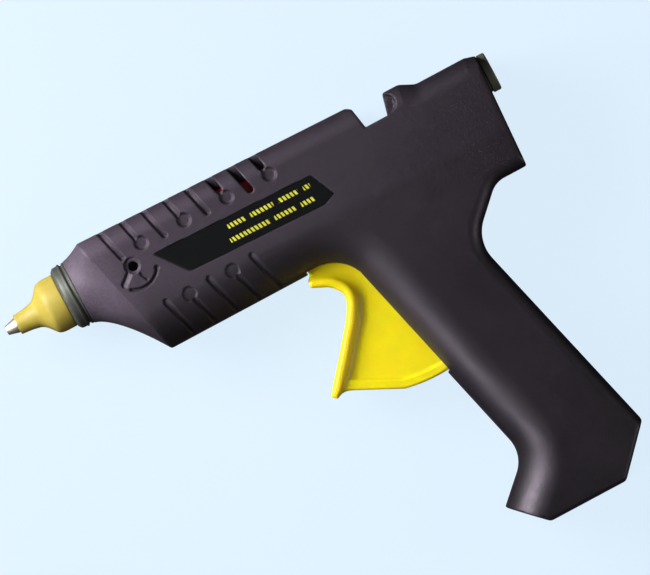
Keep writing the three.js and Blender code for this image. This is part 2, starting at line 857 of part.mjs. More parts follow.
function casingScrew([x, y]) {
  const head = disc(x, y, screwHeadRadius, screwHeadTop, screwHeadTop + screwHeadHeight, 14);
  const shank = disc(x, y, screwRadius, screwHeadTop, screwHeadTop + screwLength, 8);
  const bar = (w, h) => block(x - w, x + w, y - h, y + h, screwHeadTop - overrun, screwHeadTop + screwDrive);
  const half = screwDrive / 2;
  const long = screwHeadRadius - screwDrive;
  return cut(join([head, shank]), [bar(long, half), bar(half, long)]);
}

// The nozzle and what surrounds it

function nozzle() {
  const tip = -tipReach;
  const coneEnd = tip + tipConeLength;
  const neckEnd = coneEnd + neckLength;
  const shoulderStart = neckEnd + shoulderSlope;
  const shoulderEnd = shoulderStart + shoulderLength;
  const stemEnd = shoulderEnd + stemLength;
  return turned([
    [orificeRadius, tip],
    [tipRadius, tip],
    [tipRadius + orificeRadius, tip + orificeRadius],
    [tipConeRadius, coneEnd],
    [neckRadius, neckEnd],
    [shoulderRadius, shoulderStart],
    [shoulderRadius, shoulderEnd],
    [stemRadius, shoulderEnd],
    [stemRadius, stemEnd],
    [nozzleBore, stemEnd],
    [nozzleBore, tip + orificeLength * 2],
    [orificeRadius, tip + orificeLength],
  ], 20);
}

function nozzleCover() {
  const coneEnd = -tipReach + tipConeLength;
  const neckEnd = coneEnd + neckLength;
  const shoulderStart = neckEnd + shoulderSlope;
  const rear = -ringFrontX - fit;
  return turned([
    [tipConeRadius + fit, coneEnd],
    [tipConeRadius + fit + coverLip, coneEnd],
    [tipConeRadius + fit + coverLip * 2, coneEnd + neckLength / 2],
    [coverWaistRadius, -coverWaistX],
    [(coverWaistRadius * 2 + coverRadius) / 3, (-coverWaistX * 2 - coverShoulderX) / 3 + coverRound / 2],
    [(coverWaistRadius + coverRadius * 2) / 3, (-coverWaistX - coverShoulderX * 2) / 3 + coverRound / 4],
    [coverRadius - coverRound / 2, -coverShoulderX],
    [coverRadius, -coverShoulderX + coverRound],
    [coverRadius, rear - coverRound / 2],
    [coverRadius - coverRound / 2, rear],
    [shoulderRadius + fit, rear],
    [shoulderRadius + fit, shoulderStart - fit / 2],
    [neckRadius + fit, neckEnd - fit / 2],
  ], 26);
}

function frontRing() {
  const rear = -frontReach - fit;
  const spigotEnd = -frontReach + ringSpigotLength;
  return turned([
    [ringBore, -ringFrontX],
    [ringRadius - ringChamfer, -ringFrontX],
    [ringRadius - ringChamfer / 3, -ringFrontX + ringChamfer / 2],
    [ringRadius, -ringFrontX + ringChamfer],
    [ringRadius, rear - ringGrooveWidth],
    [ringRadius - ringGrooveDepth, rear - ringGrooveWidth],
    [ringRadius - ringGrooveDepth, rear],
    [ringSpigotRadius, rear],
    [ringSpigotRadius, spigotEnd],
    [ringFlangeRadius, spigotEnd],
    [ringFlangeRadius, spigotEnd + ringFlangeWidth],
    [ringBore, spigotEnd + ringFlangeWidth],
  ], 28);
}

// The heating chamber: a tube for the stick over a pocket for the heater
function heatingChamber() {
  const front = -chamberFrontX;
  const neckEnd = front + chamberNeckLength;
  const rear = -chamberRearX;
  const stemEnd = -tipReach + tipConeLength + neckLength + shoulderSlope + shoulderLength + stemLength;
  const body = turned([
    [0, front],
    [chamberNeckRadius, front],
    [chamberNeckRadius, neckEnd],
    [chamberRadius, neckEnd + chamberRadius - chamberNeckRadius],
    [chamberRadius, rear],
    [chamberTailRadius, rear],
    [chamberTailRadius, rear + chamberTailLength],
    [0, rear + chamberTailLength],
  ]);
  const podTop = -chamberBore - podSink;
  const pod = block(-podFrontX, -podRearX, -podDepth, podTop, -podHalfWidth, podHalfWidth);
  const melt = turned([
    [0, front - overrun],
    [stemRadius + fit, front - overrun],
    [stemRadius + fit, stemEnd + fit],
    [chamberThroatRadius, stemEnd + fit],
    [chamberThroatRadius, stemEnd + fit + chamberThroatRadius],
    [chamberBore, stemEnd + fit + chamberThroatRadius + chamberBore],
    [chamberBore, rear + chamberTailLength + overrun],
    [0, rear + chamberTailLength + overrun],
  ], 24);
  const pocket = block(-podFrontX - overrun, -podRearX + overrun, -pocketTop - pocketHeight, -pocketTop,
    -pocketHalfWidth, pocketHalfWidth);
  return cut(join([body, pod]), [melt, pocket]);
}

const heaterMiddle = -pocketTop - pocketHeight / 2;

function heaterInsulation() {
  const half = pocketHeight / 2 - fit / 2;
  const wide = pocketHalfWidth - fit / 2;
  const outer = block(-podFrontX, -podRearX, heaterMiddle - half, heaterMiddle + half, -wide, wide);
  const room = block(-podFrontX - overrun, -podRearX + overrun, heaterMiddle - half + insulationWall,
    heaterMiddle + half - insulationWall, -wide + insulationWall, wide - insulationWall);
  return outer.subtract(room);
}

const heaterGap = fit / 3;

function heaterResistor() {
  const half = resistorThickness / 2;
  return block(-podFrontX + wall, -podRearX - wall, heaterMiddle - half, heaterMiddle + half,
    -resistorHalfWidth, resistorHalfWidth);
}

// An electrode plate with its tab to one side
function electrode(up, side) {
  const near = heaterMiddle + up * (resistorThickness / 2 + heaterGap);
  const far = near + up * electrodeThickness;
  const y0 = Math.min(near, far);
  const y1 = Math.max(near, far);
  const z0 = side > 0 ? resistorHalfWidth - electrodeTabWidth : -resistorHalfWidth;
  const body = block(-podFrontX + wall, -podRearX - wall / 2, y0, y1, -resistorHalfWidth, resistorHalfWidth);
  const tab = block(-podRearX - wall, -podRearX + electrodeTail, y0, y1, z0, z0 + electrodeTabWidth);
  return join([body, tab]);
}

function stickSleeve() {
  const front = -chamberRearX + fit;
  const tailEnd = -chamberRearX + chamberTailLength + fit;
  const bore = stickBore / 2;
  const wide = chamberTailRadius + fit;
  return turned([
    [wide, front],
    [wide + sleeveWall, front],
    [wide + sleeveWall, tailEnd + sleeveWall],
    [bore + sleeveWall, tailEnd + sleeveStep],
    [bore + sleeveWall, -sleeveRearX],
    [bore, -sleeveRearX],
    [bore, tailEnd],
    [wide, tailEnd],
  ]);
}

function sleeveClamp() {
  const band = turned([
    [clampInner, clampStart],
    [clampOuter, clampStart],
    [clampOuter, clampEnd],
    [clampInner, clampEnd],
  ]);
  const ear = block(clampStart, clampEnd, -clampThickness, clampThickness,
    -clampOuter - clampEar, -clampInner - clampThickness / 2);
  const split = block(clampStart - overrun, clampEnd + overrun, -clampThickness / 3, clampThickness / 3,
    -clampOuter - clampEar - overrun, -clampOuter - clampThickness / 2);
  return join([band, ear]).subtract(split);
}

// The trigger

const carriageRear = notchFrontX - wall - fit * 2;
const carriageFrontX = carriageRear - carriageLength;
const armLean = triggerTravel / 2;
const driveX = (pivotDepth - drivePinDepth) * Math.tan(radians(armLean));
const fingerCurve = fingerShares.map(([x, y]) => [x * triggerLength, -pivotDepth + y * triggerLength]);

// The finger curve moved back into the trigger by a distance
function fingerBack(depth) {
  return fingerCurve.map(([x, y], i) => {
    const [ax, ay] = fingerCurve[Math.max(i - 1, 0)];
    const [bx, by] = fingerCurve[Math.min(i + 1, fingerCurve.length - 1)];
    const length = Math.hypot(bx - ax, by - ay);
    return [x - ((by - ay) / length) * depth, y + ((bx - ax) / length) * depth];
  });
}

const rimFront = [rimFrontShares[0] * triggerLength, -pivotDepth + rimFrontShares[1] * triggerLength];
const rimKink = [rimKinkShares[0] * triggerLength, -pivotDepth + rimKinkShares[1] * triggerLength];

function hubPlace(angle) {
  const [x, y] = polar(hubRadius - fit, angle);
  return [x, -pivotDepth + y];
}

// The web's lower edge, from the finger flange back to its hidden end, at a height above the rim
function rimEdge(height) {
  const radius = triggerLength - height;
  const kinkAngle = THREE.MathUtils.radToDeg(Math.atan2(rimKink[1] + pivotDepth, rimKink[0]));
  const [frontX] = inHandle(slotEndShare, 0);
  const endAngle = -THREE.MathUtils.radToDeg(Math.acos((frontX + webHidden) / triggerLength));
  const arc = arcPoints(0, -pivotDepth, radius, kinkAngle, endAngle, 5);
  return [[rimFront[0] + height / 2, rimFront[1] + height], ...arc];
}

function trigger() {
  const front = fingerBack(fingerThickness / 2);
  const frontTop = front[1];
  const lower = rimEdge(0);
  const nose = arcPoints(0, -pivotDepth, webNoseRadius, webNoseFrom, webNoseTo, 5);
  const web = plate([
    ...nose,
    frontTop,
    ...front.slice(2, -1),
    ...lower,
    hubPlace(-60),
    hubPlace(90),
  ], -webHalf, webHalf);
  const inner = rimEdge(rimHeight);
  const rim = plate([...lower, ...inner.reverse()], -rimHalf, rimHalf);
  const flangeLayer = (depth, half, trim = 0) => {
    const kept = (curve) => curve.slice(trim, curve.length - trim);
    return plate([...kept(fingerCurve), ...kept(fingerBack(depth)).reverse()], -half, half);
  };
  const flange = [
    flangeLayer(fingerThickness, fingerHalf),
    flangeLayer(fingerThickness + fingerFillet / 2, rimHalf + fit, 1),
    flangeLayer(fingerThickness + fingerFillet, rimHalf, 1),
  ];
  const armAngle = 90 - armLean;
  const [ax, ay] = polar(1, armAngle);
  const armLength = (pivotDepth - drivePinDepth) / Math.cos(radians(armLean)) + armTop + drivePinRadius;
  const half = armWidth / 2;
  const armPlace = (along, across) => [ax * along + ay * across, -pivotDepth + ay * along - ax * across];
  const arm = plate([
    armPlace(0, half),
    armPlace(armLength, half - armTaper),
    armPlace(armLength, armTaper - half),
    armPlace(0, -half),
  ], -armHalf, armHalf);
  const hub = disc(0, -pivotDepth, hubRadius, -webHalf, webHalf, 24);
  const slotHalf = drivePinRadius + pinClearance;
  const pinPlace = armLength - armTop - drivePinRadius;
  const fork = plate([
    armPlace(pinPlace - slotHalf * 2, slotHalf),
    armPlace(armLength + overrun, slotHalf),
    armPlace(armLength + overrun, -slotHalf),
    armPlace(pinPlace - slotHalf * 2, -slotHalf),
  ], -webHalf - overrun, webHalf + overrun);
  const bore = disc(0, -pivotDepth, pivotRadius + pinClearance, -halfWidth, halfWidth, 20);
  return cut(join([web, rim, ...flange, hub, arm]), [fork, bore]);
}

function triggerPivot() {
  const half = halfWidth - wall - fit;
  return disc(0, -pivotDepth, pivotRadius, -half, half, 20);
}

// The feed carriage and its gripper

const pinHole = (x, depth) => disc(x, -depth, gripperPinRadius + pinClearance, -halfWidth, halfWidth, 16);

function carriage() {
  const half = carriageHalfWidth;
  const body = block(carriageFrontX, carriageRear, -carriageFloor, carriageHeight, -half, half);
  const wings = block(carriageFrontX, carriageRear, -carriageWingHeight, carriageWingHeight,
    -carriageWingReach, carriageWingReach);
  const earX = [gripperPinX - earRadius, gripperPinX + earRadius];
  const ears = [1, -1].map((side) => block(...earX, -earDepth, -carriageFloor + wall,
    Math.min(side * earInner, side * earOuter), Math.max(side * earInner, side * earOuter)));
  const bore = rod(stickBore / 2, carriageFrontX - overrun, carriageRear + overrun, 24);
  const windowEnd = gripperPinX + earRadius + wall;
  const window = block(carriageFrontX - overrun, windowEnd,
    -carriageFloor - overrun, 0, -earInner, earInner);
  return cut(join([body, wings, ...ears]), [bore, window, pinHole(gripperPinX, gripperPinDepth)]);
}

// The jaw: teeth under the stick, and two cheeks down to the drive pin
function gripper() {
  const toothPitch = (gripperPinX + earRadius - carriageFrontX - wall) / toothCount;
  const top = -stickBore / 2 - fit - toothHeight;
  const front = carriageFrontX + wall / 2;
  const teeth = range(toothCount).flatMap((i) => [
    [front + toothPitch * i, top + toothHeight],
    [front + toothPitch * (i + 1), top],
  ]);
  const profile = [
    ...teeth.reverse(),
    [front, top - toothHeight],
    [front, -drivePinDepth - earRadius],
    [driveX + earRadius, -drivePinDepth - earRadius],
    [gripperPinX + earRadius, -gripperPinDepth - earRadius / 2],
  ];
  const solid = plate(profile, -gripperHalf, gripperHalf);
  const roomTop = -drivePinDepth + drivePinRadius + armTop + fit * 2;
  const armRoom = block(front - overrun, driveX + earRadius + overrun, -pivotDepth, roomTop,
    -cheekInner, cheekInner);
  return cut(solid, [armRoom, pinHole(gripperPinX, gripperPinDepth), pinHole(driveX, drivePinDepth)]);
}

const pin = (x, depth, half) => disc(x, -depth, gripperPinRadius, -half, half, 16);
const gripperPin = () => pin(gripperPinX, gripperPinDepth, earOuter);
const drivePin = () => pin(driveX, drivePinDepth, gripperHalf);

const springStart = -sleeveRearX + ribThickness + fit * 2 + springWire / 2;
const springEnd = carriageFrontX - fit - springWire / 2;

// The least gap between one point of the spring's wire and the turns before it
function leastSpringGap() {
  const steps = springTurns * springSteps;
  const centre = (i) => new THREE.Vector3(
    springStart + ((springEnd - springStart) * i) / steps, ...polar(springRadius, (i / springSteps) * 360));
  let least = reach;
  range(steps + 1).forEach((i) => {
    range(Math.max(i - springSteps / 2, 0)).forEach((k) => {
      least = Math.min(least, centre(i).distanceTo(centre(k)) - springWire);
    });
  });
  return least;
}

// A helical spring round the stick between the casing's cross rib and the carriage
function carriageSpring() {
  const x0 = springStart;
  const x1 = springEnd;
  const steps = springTurns * springSteps;
  const ring = (i) => {
    const turn = (i / springSteps) * 2 * Math.PI;
    const x = x0 + ((x1 - x0) * i) / steps;
    return range(springSides).map((k) => {
      const angle = (k / springSides) * 2 * Math.PI;
      const radius = springRadius + (Math.cos(angle) * springWire) / 2;
      return [x + (Math.sin(angle) * springWire) / 2, radius * Math.cos(turn), radius * Math.sin(turn)];
    });
  };
  return skin(range(steps + 1).map(ring));
}

// The stick's inlet: a collar inside the rear wall, a neck through it and a rim outside
function inletRing() {
  const end = inletReach;
  const start = end - inletLength;
  const bore = stickBore / 2;
  return turned([
    [bore, start],
    [inletCollarRadius, start],
    [inletCollarRadius, rearReach - wall - fit],
    [inletNeckRadius, rearReach - wall - fit],
    [inletNeckRadius, rearReach + fit * 2],
    [inletRadius, rearReach + fit * 2],
    [inletRadius, end - fit * 2],
    [inletRadius - fit * 2, end],
    [bore + fit, end],
    [bore, end - fit],
  ], 24);
}

// The terminal block and the leads that run up to the heater

const [terminalX, terminalY] = inHandle(blockDownShare, blockAcrossShare);
const leadBoreZ = blockHalfWidth / 2;

function terminalBlock() {
  const body = block(terminalX - blockHalfLength, terminalX + blockHalfLength, terminalY - blockHalfHeight,
    terminalY + blockHalfHeight, -blockHalfWidth, blockHalfWidth);
  const holes = [1, -1].map((side) => {
    const geometry = new THREE.CylinderGeometry(blockBore, blockBore, blockHalfHeight * 2 + overrun, 12);
    return toSolid(geometry.translate(terminalX, terminalY, side * leadBoreZ));
  });
  const wells = [1, -1].map((up) => disc(terminalX, terminalY + (up * blockHalfHeight) / 2, blockBore,
    leadBoreZ, blockHalfWidth + overrun, 12));
  return cut(body, [...holes, ...wells]);
}

function lead(up, side) {
  const tabY = heaterMiddle + up * (resistorThickness / 2 + heaterGap + electrodeThickness / 2);
  const tabZ = side * (resistorHalfWidth - electrodeTabWidth / 2);
  const tabX = -podRearX + electrodeTail + fit;
  const blockTop = terminalY + blockHalfHeight;
  const aside = side * leadSide;
  const points = [
    [tabX, tabY, tabZ],
    [tabX + 3 * leadRadius, heaterMiddle - leadDrop, tabZ + side * leadRadius],
    [tabX + 3 * leadRadius * 3, heaterMiddle - 2 * leadDrop, tabZ + side * 3 * leadRadius],
    ...leadBarrelShares.map(([along, down]) => [along * frontReach, -down * undersideDepth, aside]),
    ...leadHandleShares.map(([down, across]) => [...inHandle(down, across), aside]),
    [terminalX, blockTop + blockHalfHeight, side * blockHalfWidth * 2 / 3],
    [terminalX, blockTop + 2 * leadRadius, side * leadBoreZ],
    [terminalX, blockTop + fit, side * leadBoreZ],
  ].map(([x, y, z]) => new THREE.Vector3(x, y, z));
  const curve = new THREE.CatmullRomCurve3(points, false, 'centripetal');
  const circle = new THREE.Shape(range(6).map((i) => new THREE.Vector2(...polar(leadRadius, i * 60))));
  return toSolid(new THREE.ExtrudeGeometry(circle, { extrudePath: curve, steps: 36, bevelEnabled: false }));
}

// Materials

const material = (color, roughness, metalness = 0) => () =>
  new THREE.MeshStandardMaterial({ color, roughness, metalness });
const casingPlastic = material(0x46434a, 0.55);
const labelInk = material(0x0c0e0f, 0.35);
const screwSteel = material(0x6f6f72, 0.4, 1);
const tipMetal = material(0xc7c4b2, 0.3, 1);
const yellowSilicone = material(0xf3df55, 0.6);
const ringMetal = material(0x5c5d55, 0.3, 0.8);
const castAluminium = material(0xa9abad, 0.5, 1);
const insulationFilm = material(0xb9822a, 0.4);
const ceramic = material(0x3c3c3f, 0.7);
const brassSheet = material(0xc9a64a, 0.35, 1);
const redSilicone = material(0xb5392b, 0.6);
const springSteel = material(0x8d8f92, 0.3, 1);
const blackPlastic = material(0x222224, 0.5);
const yellowPlastic = material(0xe9db34, 0.4);
const oliveMetal = material(0x4a4d44, 0.4, 0.6);
const whitePlastic = material(0xd9d8d2, 0.5);
const brownInsulation = material(0x6b3f25, 0.5);
const blueInsulation = material(0x2a4f93, 0.5);

// The assembly

const group = new THREE.Group();
group.name = 'hot_glue_gun';
group.position.z = halfWidth;

function place(name, solid, finish) {
  const mesh = new THREE.Mesh(toGeometry(solid), finish());
  mesh.name = name;
  group.add(mesh);
}

place('left_casing', casingHalf(1), casingPlastic);
place('right_casing', casingHalf(-1), casingPlastic);
place('label_plate', labelPlate(), labelInk);
bossPlaces.forEach((spot, i) => place(`casing_screw_${i + 1}`, casingScrew(spot), screwSteel));
place('nozzle', nozzle(), tipMetal);
place('nozzle_cover', nozzleCover(), yellowSilicone);
place('front_ring', frontRing(), ringMetal);
place('heating_chamber', heatingChamber(), castAluminium);
place('heater_insulation', heaterInsulation(), insulationFilm);
place('heater_resistor', heaterResistor(), ceramic);
place('electrode_upper', electrode(1, 1), brassSheet);
place('electrode_lower', electrode(-1, -1), brassSheet);
place('stick_sleeve', stickSleeve(), redSilicone);
place('sleeve_clamp', sleeveClamp(), springSteel);
place('carriage', carriage(), blackPlastic);
place('carriage_spring', carriageSpring(), springSteel);
place('gripper', gripper(), castAluminium);
place('gripper_pin', gripperPin(), springSteel);
place('drive_pin', drivePin(), springSteel);
place('trigger', trigger(), yellowPlastic);
place('trigger_pivot', triggerPivot(), springSteel);
place('inlet_ring', inletRing(), oliveMetal);
place('terminal_block', terminalBlock(), whitePlastic);
place('lead_live', lead(1, 1), brownInsulation);
place('lead_neutral', lead(-1, -1), blueInsulation);

console.log(`least gap in the spring: ${leastSpringGap().toFixed(2)} mm`);

export default group;
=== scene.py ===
"""A full-size hot glue gun lying on its right side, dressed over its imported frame.

Lengths are millimetres until a mesh is made. X runs from the nozzle to the rear along the glue
stick's axis, Y to the gun's top and Z to its left side, with the casing's middle plane at z = 17.
"""

import json

import bpy
import numpy as np
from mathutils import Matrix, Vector


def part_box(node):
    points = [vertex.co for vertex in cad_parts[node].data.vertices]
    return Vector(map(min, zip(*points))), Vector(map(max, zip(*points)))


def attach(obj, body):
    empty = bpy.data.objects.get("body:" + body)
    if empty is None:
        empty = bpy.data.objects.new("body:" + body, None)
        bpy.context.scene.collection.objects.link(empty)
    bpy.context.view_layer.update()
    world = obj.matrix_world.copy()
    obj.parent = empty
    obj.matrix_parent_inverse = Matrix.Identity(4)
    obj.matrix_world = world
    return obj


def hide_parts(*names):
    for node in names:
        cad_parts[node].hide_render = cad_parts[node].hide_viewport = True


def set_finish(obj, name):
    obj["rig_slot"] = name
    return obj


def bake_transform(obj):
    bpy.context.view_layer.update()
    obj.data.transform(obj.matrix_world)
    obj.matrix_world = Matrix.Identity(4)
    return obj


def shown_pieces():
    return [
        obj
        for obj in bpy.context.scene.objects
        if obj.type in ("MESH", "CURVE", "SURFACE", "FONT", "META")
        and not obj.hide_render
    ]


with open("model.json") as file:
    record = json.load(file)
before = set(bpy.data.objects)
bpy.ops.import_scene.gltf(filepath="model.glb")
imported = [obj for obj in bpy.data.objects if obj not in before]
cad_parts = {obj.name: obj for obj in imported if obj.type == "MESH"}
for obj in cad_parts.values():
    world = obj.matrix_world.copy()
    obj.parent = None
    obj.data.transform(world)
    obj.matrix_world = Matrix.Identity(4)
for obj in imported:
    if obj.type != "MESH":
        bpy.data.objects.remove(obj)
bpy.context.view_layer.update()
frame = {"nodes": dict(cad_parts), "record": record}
nodes = frame["nodes"]

MM = 0.001
MIDDLE = 17.0
HALF = 17.0
WALL = 2.2
FAR = 400.0

# Camera

CAMERA_AIM = (-21.1, -40.4)
VIEW_TURN = 28.2
PIXELS_PER_MM_AT_MIDDLE = 1 / 0.36
FOCAL_PIXELS = 12000.0
IMAGE_WIDTH_PIXELS = 650
SENSOR_WIDTH = 36.0
CLIP_END_METRES = 20


def add_camera():
    """A long lens straight above the gun, turned so that the barrel climbs to the right."""
    data = bpy.data.cameras.new("camera")
    data.sensor_width = SENSOR_WIDTH
    data.lens = FOCAL_PIXELS / IMAGE_WIDTH_PIXELS * SENSOR_WIDTH
    data.clip_end = CLIP_END_METRES
    camera = bpy.data.objects.new("camera", data)
    height = MIDDLE + FOCAL_PIXELS / PIXELS_PER_MM_AT_MIDDLE
    camera.location = (CAMERA_AIM[0] * MM, CAMERA_AIM[1] * MM, height * MM)
    camera.rotation_euler = (0, 0, -np.radians(VIEW_TURN))
    bpy.context.scene.collection.objects.link(camera)
    bpy.context.scene.camera = camera


# Solid fields
# A solid is a function of x, y, z that is below zero inside it. Arrays of any matching shapes
# go in, so one function serves the whole grid and the finished surface's own points.


def soft_max(a, b, k):
    """The larger of two fields, blended over the width k where they are alike: the parabola
    (k - |a - b|)^2 / 4k is added there, which rounds the edge between them."""
    near = np.maximum(k - np.abs(a - b), 0)
    return np.maximum(a, b) + near * near / (4 * k)


def soft_min(a, b, k):
    """The smaller of two fields, blended over the width k, which fills the corner between them."""
    return -soft_max(-a, -b, k)


def outline_distance(x, y, points):
    """Signed distance to a closed outline: the least distance to its edges, below zero where a
    line from the place crosses the outline an odd number of times."""
    points = np.asarray(points, float)
    best = np.full(np.broadcast(x, y).shape, np.inf)
    sign = np.ones(best.shape)
    for (ax, ay), (bx, by) in zip(points, np.roll(points, -1, axis=0)):
        ex, ey = bx - ax, by - ay
        wx, wy = x - ax, y - ay
        t = np.clip((wx * ex + wy * ey) / (ex * ex + ey * ey + 1e-12), 0, 1)
        best = np.minimum(best, (wx - ex * t) ** 2 + (wy - ey * t) ** 2)
        above, below, left = y >= ay, y < by, ex * wy > ey * wx
        crossing = (above & below & left) | (~above & ~below & ~left)
        sign = np.where(crossing, -sign, sign)
    return sign * np.sqrt(best)


def ray_distance(x, y, start, heading, half):
    """Distance to a slot that starts at a point and runs on without end, half wide each way."""
    wx, wy = x - start[0], y - start[1]
    along = np.maximum(wx * heading[0] + wy * heading[1], 0)
    return np.hypot(wx - along * heading[0], wy - along * heading[1]) - half


def bar_distance(x, y, start, end, half):
    """Distance to a straight groove with round ends between two points."""
    ex, ey = end[0] - start[0], end[1] - start[1]
    wx, wy = x - start[0], y - start[1]
    t = np.clip((wx * ex + wy * ey) / (ex * ex + ey * ey), 0, 1)
    return np.hypot(wx - ex * t, wy - ey * t) - half


def rounded_side(d, z, half, radius):
    """A side's plan distance d carried through the thickness, with its edge on the flat face
    rounded: the distance to a quarter circle where both d and |z| - half are above -radius."""
    q1 = d + radius
    q2 = np.abs(z) - half + radius
    corner = np.hypot(np.maximum(q1, 0), np.maximum(q2, 0))
    return corner + np.minimum(np.maximum(q1, q2), 0) - radius


def rounded_path(corners, step=4.0):
    """Points of a path with a circular arc of the given radius at each inner corner."""
    points = []
    for i, (x, y, radius) in enumerate(corners):
        if radius == 0 or i in (0, len(corners) - 1):
            points.append((x, y))
            continue
        here = np.array((x, y))
        before = here - np.array(corners[i - 1][:2])
        after = np.array(corners[i + 1][:2]) - here
        a0 = np.arctan2(before[1], before[0])
        turn = (np.arctan2(after[1], after[0]) - a0 + np.pi) % (2 * np.pi) - np.pi
        tangent = radius * np.tan(abs(turn) / 2)
        start = here - before / np.linalg.norm(before) * tangent
        side = np.sign(turn)
        centre = start + radius * side * np.array((-np.sin(a0), np.cos(a0)))
        count = max(int(np.ceil(abs(np.degrees(turn)) / step)), 1)
        angles = a0 + turn * np.arange(count + 1) / count
        points += [tuple(centre + radius * side * np.array((np.sin(a), -np.cos(a)))) for a in angles]
    return points


def curve_through(points, steps=6):
    """A smooth line through given points: each span is a cubic whose end slopes are half the
    step between its neighbours."""
    p = np.asarray(points, float)
    padded = np.vstack([2 * p[0] - p[1], p, 2 * p[-1] - p[-2]])
    t = (np.arange(steps) / steps)[:, None]
    spans = []
    for i in range(len(p) - 1):
        a, b, c, d = padded[i:i + 4]
        spans.append(0.5 * (2 * b + (c - a) * t + (2 * a - 5 * b + 4 * c - d) * t ** 2
                            + (3 * b - a - 3 * c + d) * t ** 3))
    return np.vstack(spans + [p[-1:]])


# The surface of a field


def grid_line(*stops):
    """Places along an axis from (start, step) stops, the last stop giving the end."""
    parts = [np.arange(a, b - s / 2, s) for (a, s), (b, _) in zip(stops, stops[1:])]
    return np.concatenate(parts + [[stops[-1][0]]])


def gradient(field, p, h=0.02):
    """The field at each point and its slope along X, Y and Z by a small forward step."""
    base = field(p[:, 0], p[:, 1], p[:, 2])
    slopes = [field(*(p + h * np.eye(3)[i]).T) - base for i in range(3)]
    return base, np.stack(slopes, 1) / h


def surface_of(field, xs, ys, zs, shear=0.0, rounds=3):
    """The zero surface of a field as quads. A point is set in each grid cell that the surface
    crosses, at the mean of the crossings on the cell's edges, and the four cells round each
    crossed grid edge share a quad. Each point is then moved along the slope onto the surface.
    The grid leans by shear in X per unit of Y."""
    x = xs[:, None, None] - shear * ys[None, :, None]
    f = field(x, ys[None, :, None], zs[None, None, :])
    inside = f < 0
    shape = np.array(f.shape)
    count = np.zeros(shape - 1, np.uint8)
    for dx, dy, dz in np.ndindex(2, 2, 2):
        count += inside[dx:shape[0] - 1 + dx, dy:shape[1] - 1 + dy, dz:shape[2] - 1 + dz]
    mixed = (count > 0) & (count < 8)
    index = np.full(mixed.shape, -1, np.int64)
    cells = np.stack(np.nonzero(mixed), 1)
    index[mixed] = np.arange(len(cells))
    total = np.zeros((len(cells), 3))
    hits = np.zeros(len(cells))
    for axis in range(3):
        for a, b in np.ndindex(2, 2):
            low = np.insert(np.array((a, b)), axis, 0)
            f0 = f[tuple((cells + low).T)]
            f1 = f[tuple((cells + low + np.eye(3, dtype=int)[axis]).T)]
            crossed = (f0 < 0) != (f1 < 0)
            share = np.where(crossed, f0 / np.where(crossed, f0 - f1, 1), 0)
            total += crossed[:, None] * (low + share[:, None] * np.eye(3)[axis])
            hits += crossed
    place = cells + total / hits[:, None]
    axes = (xs, ys, zs)
    p = np.stack([np.interp(place[:, i], np.arange(len(axes[i])), axes[i]) for i in range(3)], 1)
    p[:, 0] -= shear * p[:, 1]
    quads = []
    for axis in range(3):
        u, v = (axis + 1) % 3, (axis + 2) % 3
        lower = [slice(None)] * 3
        upper = [slice(None)] * 3
        lower[axis], upper[axis] = slice(None, -1), slice(1, None)
        at = np.stack(np.nonzero(inside[tuple(lower)] != inside[tuple(upper)]), 1)
        at = at[(at[:, u] > 0) & (at[:, v] > 0) & (at[:, u] < shape[u] - 1) & (at[:, v] < shape[v] - 1)]
        one = np.eye(3, dtype=int)
        ring = [at - one[u] - one[v], at - one[v], at, at - one[u]]
        quad = np.stack([index[tuple(c.T)] for c in ring], 1)
        outward = inside[tuple(at.T)]
        quads.append(np.where(outward[:, None], quad, quad[:, ::-1]))
    for _ in range(rounds):
        value, slope = gradient(field, p)
        size = np.maximum((slope ** 2).sum(1), 0.05)
        move = slope * (value / size)[:, None]
        length = np.linalg.norm(move, axis=1, keepdims=True)
        p -= move * np.minimum(1, 0.35 / np.maximum(length, 1e-9))
    _, slope = gradient(field, p)
    normal = slope / np.maximum(np.linalg.norm(slope, axis=1, keepdims=True), 1e-9)
    return p, np.vstack(quads), normal


def add_piece(name, points, faces, body, slot, replaced=(), normals=None, sharp=None):
    """Makes a mesh object from points in millimetres and faces of four corners. A piece that
    joins two bodies has no body of its own."""
    mesh = bpy.data.meshes.new(name)
    mesh.vertices.add(len(points))
    mesh.vertices.foreach_set("co", (np.asarray(points) * MM).astype(np.float32).ravel())
    mesh.loops.add(faces.size)
    mesh.loops.foreach_set("vertex_index", faces.astype(np.int32).ravel())
    mesh.polygons.add(len(faces))
    mesh.polygons.foreach_set("loop_start", np.arange(len(faces), dtype=np.int32) * faces.shape[1])
    mesh.update(calc_edges=True)
    mesh.polygons.foreach_set("use_smooth", np.ones(len(faces), bool))
    if sharp is not None:
        mesh.set_sharp_from_angle(angle=np.radians(sharp))
    if normals is not None:
        mesh.normals_split_custom_set_from_vertices(normals)
    piece = bpy.data.objects.new(name, mesh)
    bpy.context.scene.collection.objects.link(piece)
    if body:
        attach(piece, body)
    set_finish(piece, slot)
    if replaced:
        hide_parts(*replaced)
    return piece


def field_piece(name, field, grid, body, slot, replaced, shear=0.0):
    """A piece from a field that takes z from the casing's middle plane."""
    points, faces, normals = surface_of(field, *grid, shear=shear)
    return add_piece(name, points + (0, 0, MIDDLE), faces, body, slot, replaced, normals)


